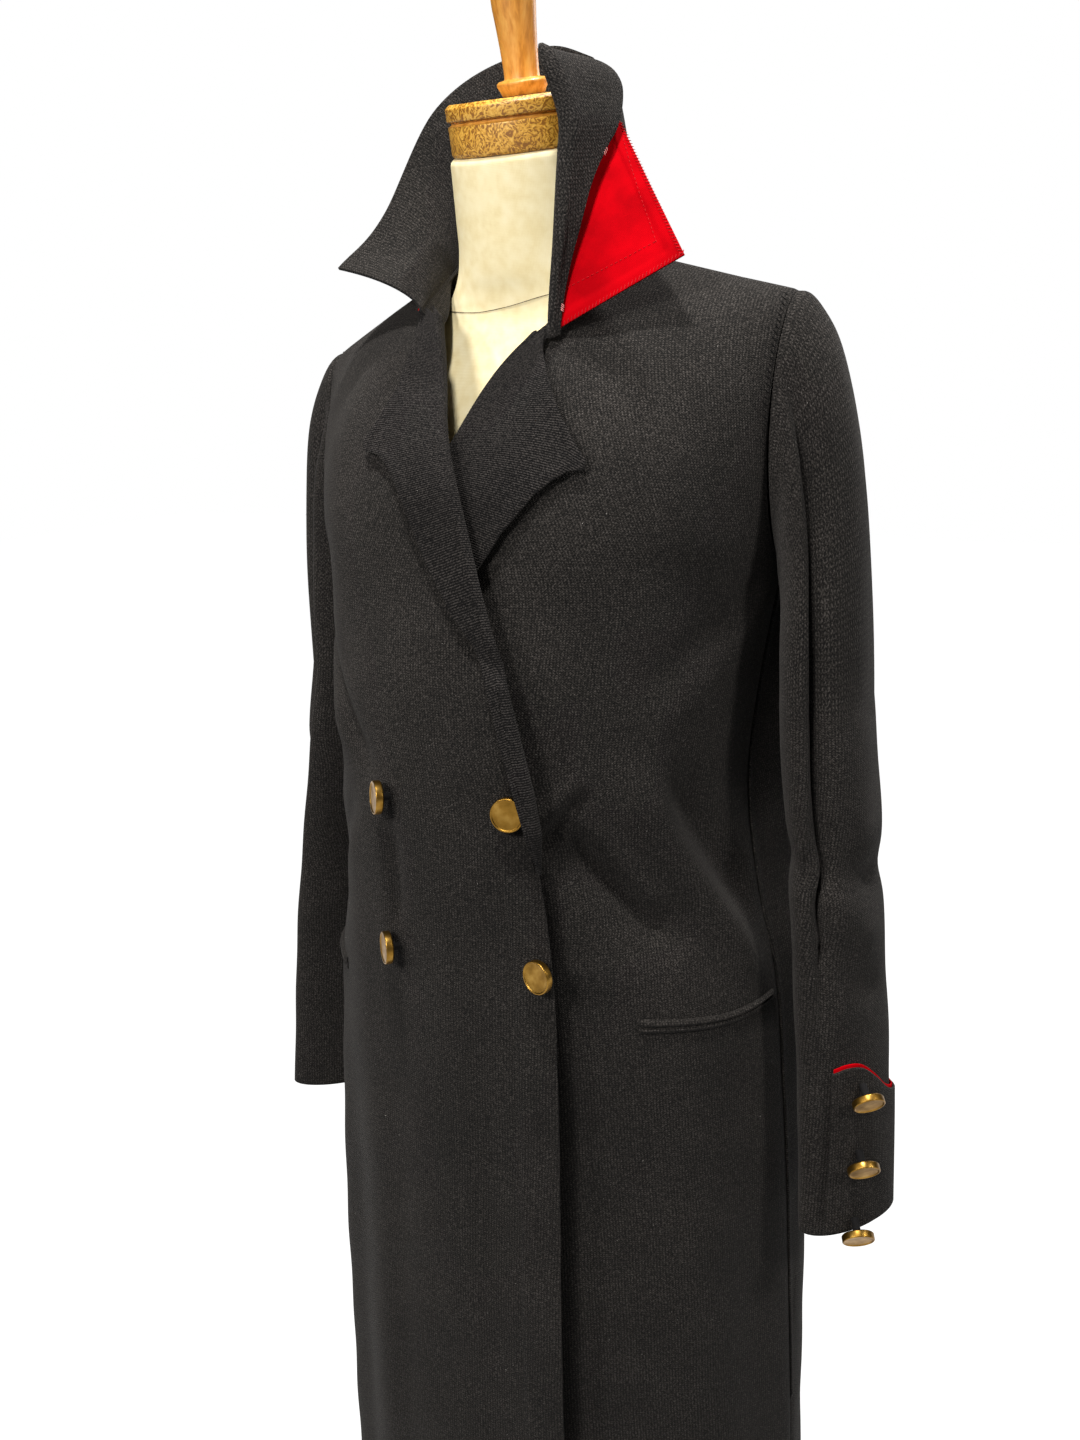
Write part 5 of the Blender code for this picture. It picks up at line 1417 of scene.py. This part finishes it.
def stitch_tree():
    """Node tree that sews small stitches along a path; its points carry the cloth's normal as lie."""
    tree, start = open_tree("stitches_along_path",
                            ("Path", "Pitch", "Length", "Thickness", "Slant", "Thread"), "Stitches")
    path = add(tree, 'GeometryNodeMeshToCurve', [("Mesh", (start, "Path"))])
    spaced = add(tree, 'GeometryNodeResampleCurve', [("Curve", (path, 0)), ("Length", (start, "Pitch"))],
                 mode='LENGTH')
    ahead = add(tree, 'GeometryNodeInputTangent')
    lie = add(tree, 'GeometryNodeInputNamedAttribute', [("Name", "lie")], data_type='FLOAT_VECTOR')
    along_path = add(tree, 'FunctionNodeAlignRotationToVector', [("Vector", (ahead, 0))], axis='X')
    flat = add(tree, 'FunctionNodeAlignRotationToVector',
               [("Rotation", (along_path, 0)), ("Vector", (lie, 0))], axis='Z', pivot_axis='X')
    slant = add(tree, 'FunctionNodeAxisAngleToRotation',
                [("Axis", (0.0, 0.0, 1.0)), ("Angle", (start, "Slant"))])
    turned = add(tree, 'FunctionNodeRotateRotation', [("Rotation", (flat, 0)), ("Rotate By", (slant, 0))],
                 rotation_space='LOCAL')
    size = add(tree, 'ShaderNodeCombineXYZ', [("X", (start, "Length")), ("Y", (start, "Thickness")),
                                              ("Z", (start, "Thickness"))])
    bead = add(tree, 'GeometryNodeMeshUVSphere', [("Segments", 6), ("Rings", 4), ("Radius", 0.5)])
    sewn_on = add(tree, 'GeometryNodeInstanceOnPoints', [("Points", (spaced, 0)), ("Instance", (bead, 0)),
                                                         ("Rotation", (turned, 0)), ("Scale", (size, 0))])
    return close_tree(tree, sewn_on, (start, "Thread"), "Stitches")


def run_nodes(piece, tree, slot, **inputs):
    """Run a node tree on a piece, bake it and tell the frame what it rides on."""
    work = piece.modifiers.new("nodes", 'NODES')
    work.node_group = tree
    for item in tree.interface.items_tree:
        if item.in_out == 'INPUT' and item.name in inputs:
            work[item.identifier] = inputs[item.name]
    baked(piece)
    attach(piece, "root")
    print(f"{piece.name}: {len(piece.data.polygons)} faces")


def path_piece(name, lines, lies):
    """Object of one polyline for each list of points, with the cloth's normal on every point."""
    points, edges = np.concatenate(lines), []
    for line in lines:
        first = edges[-1][1] + 1 if edges else 0
        edges += [(first + k, first + k + 1) for k in range(len(line) - 1)]
    mesh = bpy.data.meshes.new(name)
    mesh.from_pydata(points.tolist(), edges, [])
    lie = mesh.attributes.new("lie", 'FLOAT_VECTOR', 'POINT')
    lie.data.foreach_set("vector", np.concatenate(lies).ravel())
    return linked(name, mesh)


def sew(name, lines, lies, slot, thread, pitch, length, thickness, slant=0.0):
    """Row of stitches along lines of points."""
    run_nodes(path_piece(name, lines, lies), STITCHES, slot, Pitch=pitch, Length=length, Thickness=thickness,
              Slant=slant, Thread=thread)


STITCHES = stitch_tree()
RED_THREAD = thread_finish("red_sewing_thread", ("#8c0008", "#c21018"))
print(len(STITCHES.nodes), "nodes sew")

# %% Rows of stitches
RED_SEWING_LIFT = FACING / 2.0 + 0.0001
red = red_left_grid(np.linspace(0.0, 1.0, 60), 60)
red_out = grid_normals(red, FRONT_HINT)
red_top = red + RED_SEWING_LIFT * red_out
sew("red_facing_overcast", [red_top[1], red_top[1:-1, -2]], [red_out[1], red_out[1:-1, -2]],
    "red_woven_facing", RED_THREAD, pitch=0.0026, length=0.0042, thickness=0.0007, slant=1.0)
sew("red_facing_hem_row", [red_top[10, 4:50], red_top[10:52, -10]], [red_out[10, 4:50], red_out[10:52, -10]],
    "red_woven_facing", RED_THREAD, pitch=0.0034, length=0.0024, thickness=0.0005)

band_heights = np.linspace(HEM + 0.012, BREAK - 0.03, 240)
band_share = np.full_like(band_heights, BAND / SPAN["front_right"])
sew("front_band_stitches", [front_skin(-1, band_share, band_heights, CLOTH / 2.0)],
    [front_normal(-1, band_share, band_heights)], "black_wool_knit", BLACK_THREAD,
    pitch=0.0036, length=0.0030, thickness=0.0007)

mark_heights = np.linspace(UNDERARM + 0.015, GORGE - 0.016, 60)
mark_share = np.full_like(mark_heights, 1.0 - 0.0095 / SPAN["front_left"])
# the marks are stitched in the same darkened knit that paints the slit's shade
sew("armhole_fashioning_marks",
    [front_skin(side, mark_share, mark_heights, CLOTH / 2.0 - 0.0001) for side in (1, -1)],
    [front_normal(side, mark_share, mark_heights) for side in (1, -1)], "black_wool_knit", KNIT_PAINTED_SHADE,
    pitch=0.0042, length=0.0052, thickness=0.0010, slant=1.05)

NECK_THREAD = chart(
    "turn height",
    (-180.0, 1.4000), (-90.0, 1.3880), (-64.0, 1.3805), (-35.0, 1.3760), (-17.0, 1.3750), (-1.5, 1.3775),
    (17.5, 1.3830), (60.0, 1.3920), (180.0, 1.4000),
)
neck_turns = np.linspace(-180.0, 180.0, 240)
neck_heights, neck_turns = along(NECK_THREAD, "height", neck_turns), np.radians(neck_turns)
neck_line = form_point(neck_turns, neck_heights)
neck_out = normal_on(form_point, neck_turns, neck_heights, neck_line * (1.0, 1.0, 0.0))
sew("form_neck_thread", [neck_line + 0.0002 * neck_out], [neck_out], "cream_linen",
    thread_finish("brown_tacking_thread", ("#4d4030", "#77664e")), pitch=0.0030,
    length=0.0046, thickness=0.0005)

collar_points, tack_lines, tack_lies = collar_grid(), [], []
for row, column in ((27, -1), (4, -1), (5, 6)):
    spot = collar_points[row, column]
    across = unit(collar_points[row + 1, column] - collar_points[row - 1, column])
    out = unit(spot - np.array([0.0, 0.02, spot[2] + 0.05]))
    tack_lines.append(spot + 0.0016 * out + np.linspace(-0.0018, 0.0018, 4)[:, None] * across)
    tack_lies.append(np.repeat(out[None], 4, axis=0))
sew("collar_tack_threads", tack_lines, tack_lies, "red_woven_facing",
    thread_finish("faded_red_thread", ("#b05656", "#dc9a94")), pitch=0.0012,
    length=0.0030, thickness=0.0009, slant=1.1)

# %% [markdown]
# ## Lint
#
# Black wool picks up every pale fibre, and the photograph shows them as small specks all over the coat.  They
# are scattered over the cloth by Geometry Nodes with a fixed seed: points are spread on the faces, and each
# gets a tiny grain of random length and direction.  Real lint is finer than a pixel, so the grains are up to
# 1.8 mm long to show.

# %% Lint
def lint_finish():
    # stray undyed fibres: pale grey, matt, no two quite alike
    finish, tree, shader = start_finish("pale_wool_lint", Roughness=0.9, Specular_IOR_Level=0.1)
    tone = noise(tree, object_place(tree), 1.0 / 0.010, 1.0)
    wire(tree, shader, Base_Color=shade_ramp(tree, tone, (0.35, "#5d5955"), (0.65, "#a8a39b")))
    return finish


def lint_tree():
    """Node tree that scatters small grains over a surface."""
    tree, start = open_tree("lint_on_cloth",
                            ("Cloth", "Density", "Shortest", "Longest", "Thickness", "Seed", "Fibre"), "Lint")
    spread = add(tree, 'GeometryNodeDistributePointsOnFaces',
                 [("Mesh", (start, "Cloth")), ("Density", (start, "Density")), ("Seed", (start, "Seed"))])
    spin = add(tree, 'FunctionNodeRandomValue',
               [("Min", (0.0, 0.0, 0.0)), ("Max", (2.0 * pi, 2.0 * pi, 2.0 * pi)), ("Seed", (start, "Seed"))],
               data_type='FLOAT_VECTOR')
    chance = add(tree, 'FunctionNodeRandomValue', [("Seed", (start, "Seed"))], data_type='FLOAT')
    rare = maths(tree, 'POWER', (chance, "Value"), 3.0)
    length = add(tree, 'ShaderNodeMapRange',
                 [("Value", rare), ("To Min", (start, "Shortest")), ("To Max", (start, "Longest"))])
    size = add(tree, 'ShaderNodeCombineXYZ',
               [("X", (length, 0)), ("Y", (start, "Thickness")), ("Z", (start, "Thickness"))])
    grain = add(tree, 'GeometryNodeMeshUVSphere', [("Segments", 5), ("Rings", 3), ("Radius", 0.5)])
    laid = add(tree, 'GeometryNodeInstanceOnPoints',
               [("Points", (spread, "Points")), ("Instance", (grain, 0)), ("Rotation", (spin, "Value")),
                ("Scale", (size, 0))])
    return close_tree(tree, laid, (start, "Fibre"), "Lint")


gathered = bmesh.new()
for piece in (back, front_left, front_right, sleeve_left, sleeve_right, collar):
    gathered.from_mesh(piece.data)
surface = bpy.data.meshes.new("lint")
gathered.to_mesh(surface)
gathered.free()
lint = linked("lint", surface)
run_nodes(lint, lint_tree(), "black_wool_knit", Density=330.0, Shortest=0.0005, Longest=0.0018,
          Thickness=0.0004, Seed=11, Fibre=lint_finish())

# %% [markdown]
# ## Studio
#
# The coat stands on a plain pale floor in front of white.  The photograph was taken under ceiling lamps: one
# above and a little behind throws the collar's shadow down the chest, one a little in front models the lapels
# and the folds at the waist.  Two lights left of the camera keep the black readable and make the free edge
# cast its shadow to the right, one on the right lights the outside of the left sleeve, so that the hollow
# beside it stays dark, and a weak one lifts the back.

# %% Floor, lights and camera
def make_floor():
    """Pale floor, and a white surround far off that only the camera sees."""
    finish, tree, shader = start_finish("pale_studio_floor", Roughness=0.9, Specular_IOR_Level=0.0,
                                        Emission_Color=linear("#ffffff"), Emission_Strength=1.0)
    patch = noise(tree, object_place(tree), 3.0, 3.0)
    wire(tree, shader, Base_Color=shade_ramp(tree, patch, (0.3, "#62625f"), (0.7, "#6a6a67")))
    mesh = bpy.data.meshes.new("studio_floor")
    mesh.from_pydata([(-9, -9, 0), (9, -9, 0), (9, 9, 0), (-9, 9, 0)], [], [(0, 1, 2, 3)])
    mesh.materials.append(finish)
    floor = linked("studio_floor", mesh)
    floor.visible_diffuse = False

    white, _, _ = start_finish("white_surround", Emission_Color=linear("#ffffff"), Emission_Strength=1.0,
                               Base_Color=(0.0, 0.0, 0.0, 1.0), Roughness=1.0, Specular_IOR_Level=0.0)
    ring = bmesh.new()
    bmesh.ops.create_uvsphere(ring, u_segments=48, v_segments=24, radius=14.0)
    bmesh.ops.reverse_faces(ring, faces=ring.faces)
    mesh = bpy.data.meshes.new("studio_surround")
    ring.to_mesh(mesh)
    ring.free()
    mesh.materials.append(white)
    surround = linked("studio_surround", mesh)
    surround.visible_diffuse = surround.visible_glossy = surround.visible_transmission = False
    surround.visible_shadow = surround.visible_volume_scatter = False


def make_light(name, place, target, size, power):
    lamp = bpy.data.lights.new(name, 'AREA')
    lamp.shape, lamp.size, lamp.energy = 'DISK', size, power
    light = linked(name, lamp)
    light.location = place
    light.rotation_euler = (Vector(target) - Vector(place)).to_track_quat('-Z', 'Y').to_euler()


CAMERA_PLACE, CAMERA_TURNS = (0.5184, -0.9114, 1.3453), (30.21, 14.63, -1.76)   # yaw, pitch, roll
FOCAL, PHOTO_TALL, SENSOR = 1401.0, 1440.0, 36.0      # pixels, pixels, millimetres


def make_camera():
    """Camera of the photograph, 1080 x 1440, from its place, yaw, pitch and roll."""
    yaw, pitch, roll = map(radians, CAMERA_TURNS)
    back_way = Vector((sin(yaw) * cos(pitch), -cos(yaw) * cos(pitch), sin(pitch)))
    right_way = Vector((cos(yaw), sin(yaw), 0.0))
    up_way = back_way.cross(right_way)
    right_rolled = right_way * cos(roll) + up_way * sin(roll)
    up_rolled = up_way * cos(roll) - right_way * sin(roll)
    turn = Matrix((right_rolled, up_rolled, back_way)).transposed().to_4x4()
    turn.translation = Vector(CAMERA_PLACE)
    lens = bpy.data.cameras.new("photo_camera")
    lens.sensor_width, lens.lens, lens.clip_start = SENSOR, FOCAL / PHOTO_TALL * SENSOR, 0.01
    camera = linked("photo_camera", lens)
    camera.matrix_world = turn
    bpy.context.scene.camera = camera


make_floor()
make_light("ceiling_over", (0.37, 0.46, 3.40), (0.1, 0.0, 1.3), 0.14, 44.0)
make_light("ceiling_front", (0.15, -0.75, 3.40), (0.0, 0.0, 1.0), 0.22, 55.0)
make_light("beside_camera", (-0.05, -1.75, 2.00), (0.0, 0.0, 1.1), 0.40, 22.0)
make_light("side_right", (2.20, 0.00, 2.40), (0.1, 0.0, 1.1), 0.40, 26.0)
make_light("key_front_left", (-1.3, -2.7, 2.4), (0.0, 0.0, 1.0), 0.4, 28.0)
make_light("lift_behind", (0.6, 2.6, 2.2), (0.0, 0.0, 1.2), 1.2, 18.0)
world = bpy.data.worlds.new("white_studio")
world.use_nodes = True
world.node_tree.nodes["Background"].inputs["Color"].default_value = (1.0, 1.0, 1.0, 1.0)
world.node_tree.nodes["Background"].inputs["Strength"].default_value = 0.035
bpy.context.scene.world = world
bpy.context.scene.view_settings.view_transform = 'Standard'
make_camera()
print("camera at", [round(v, 3) for v in bpy.context.scene.camera.location])
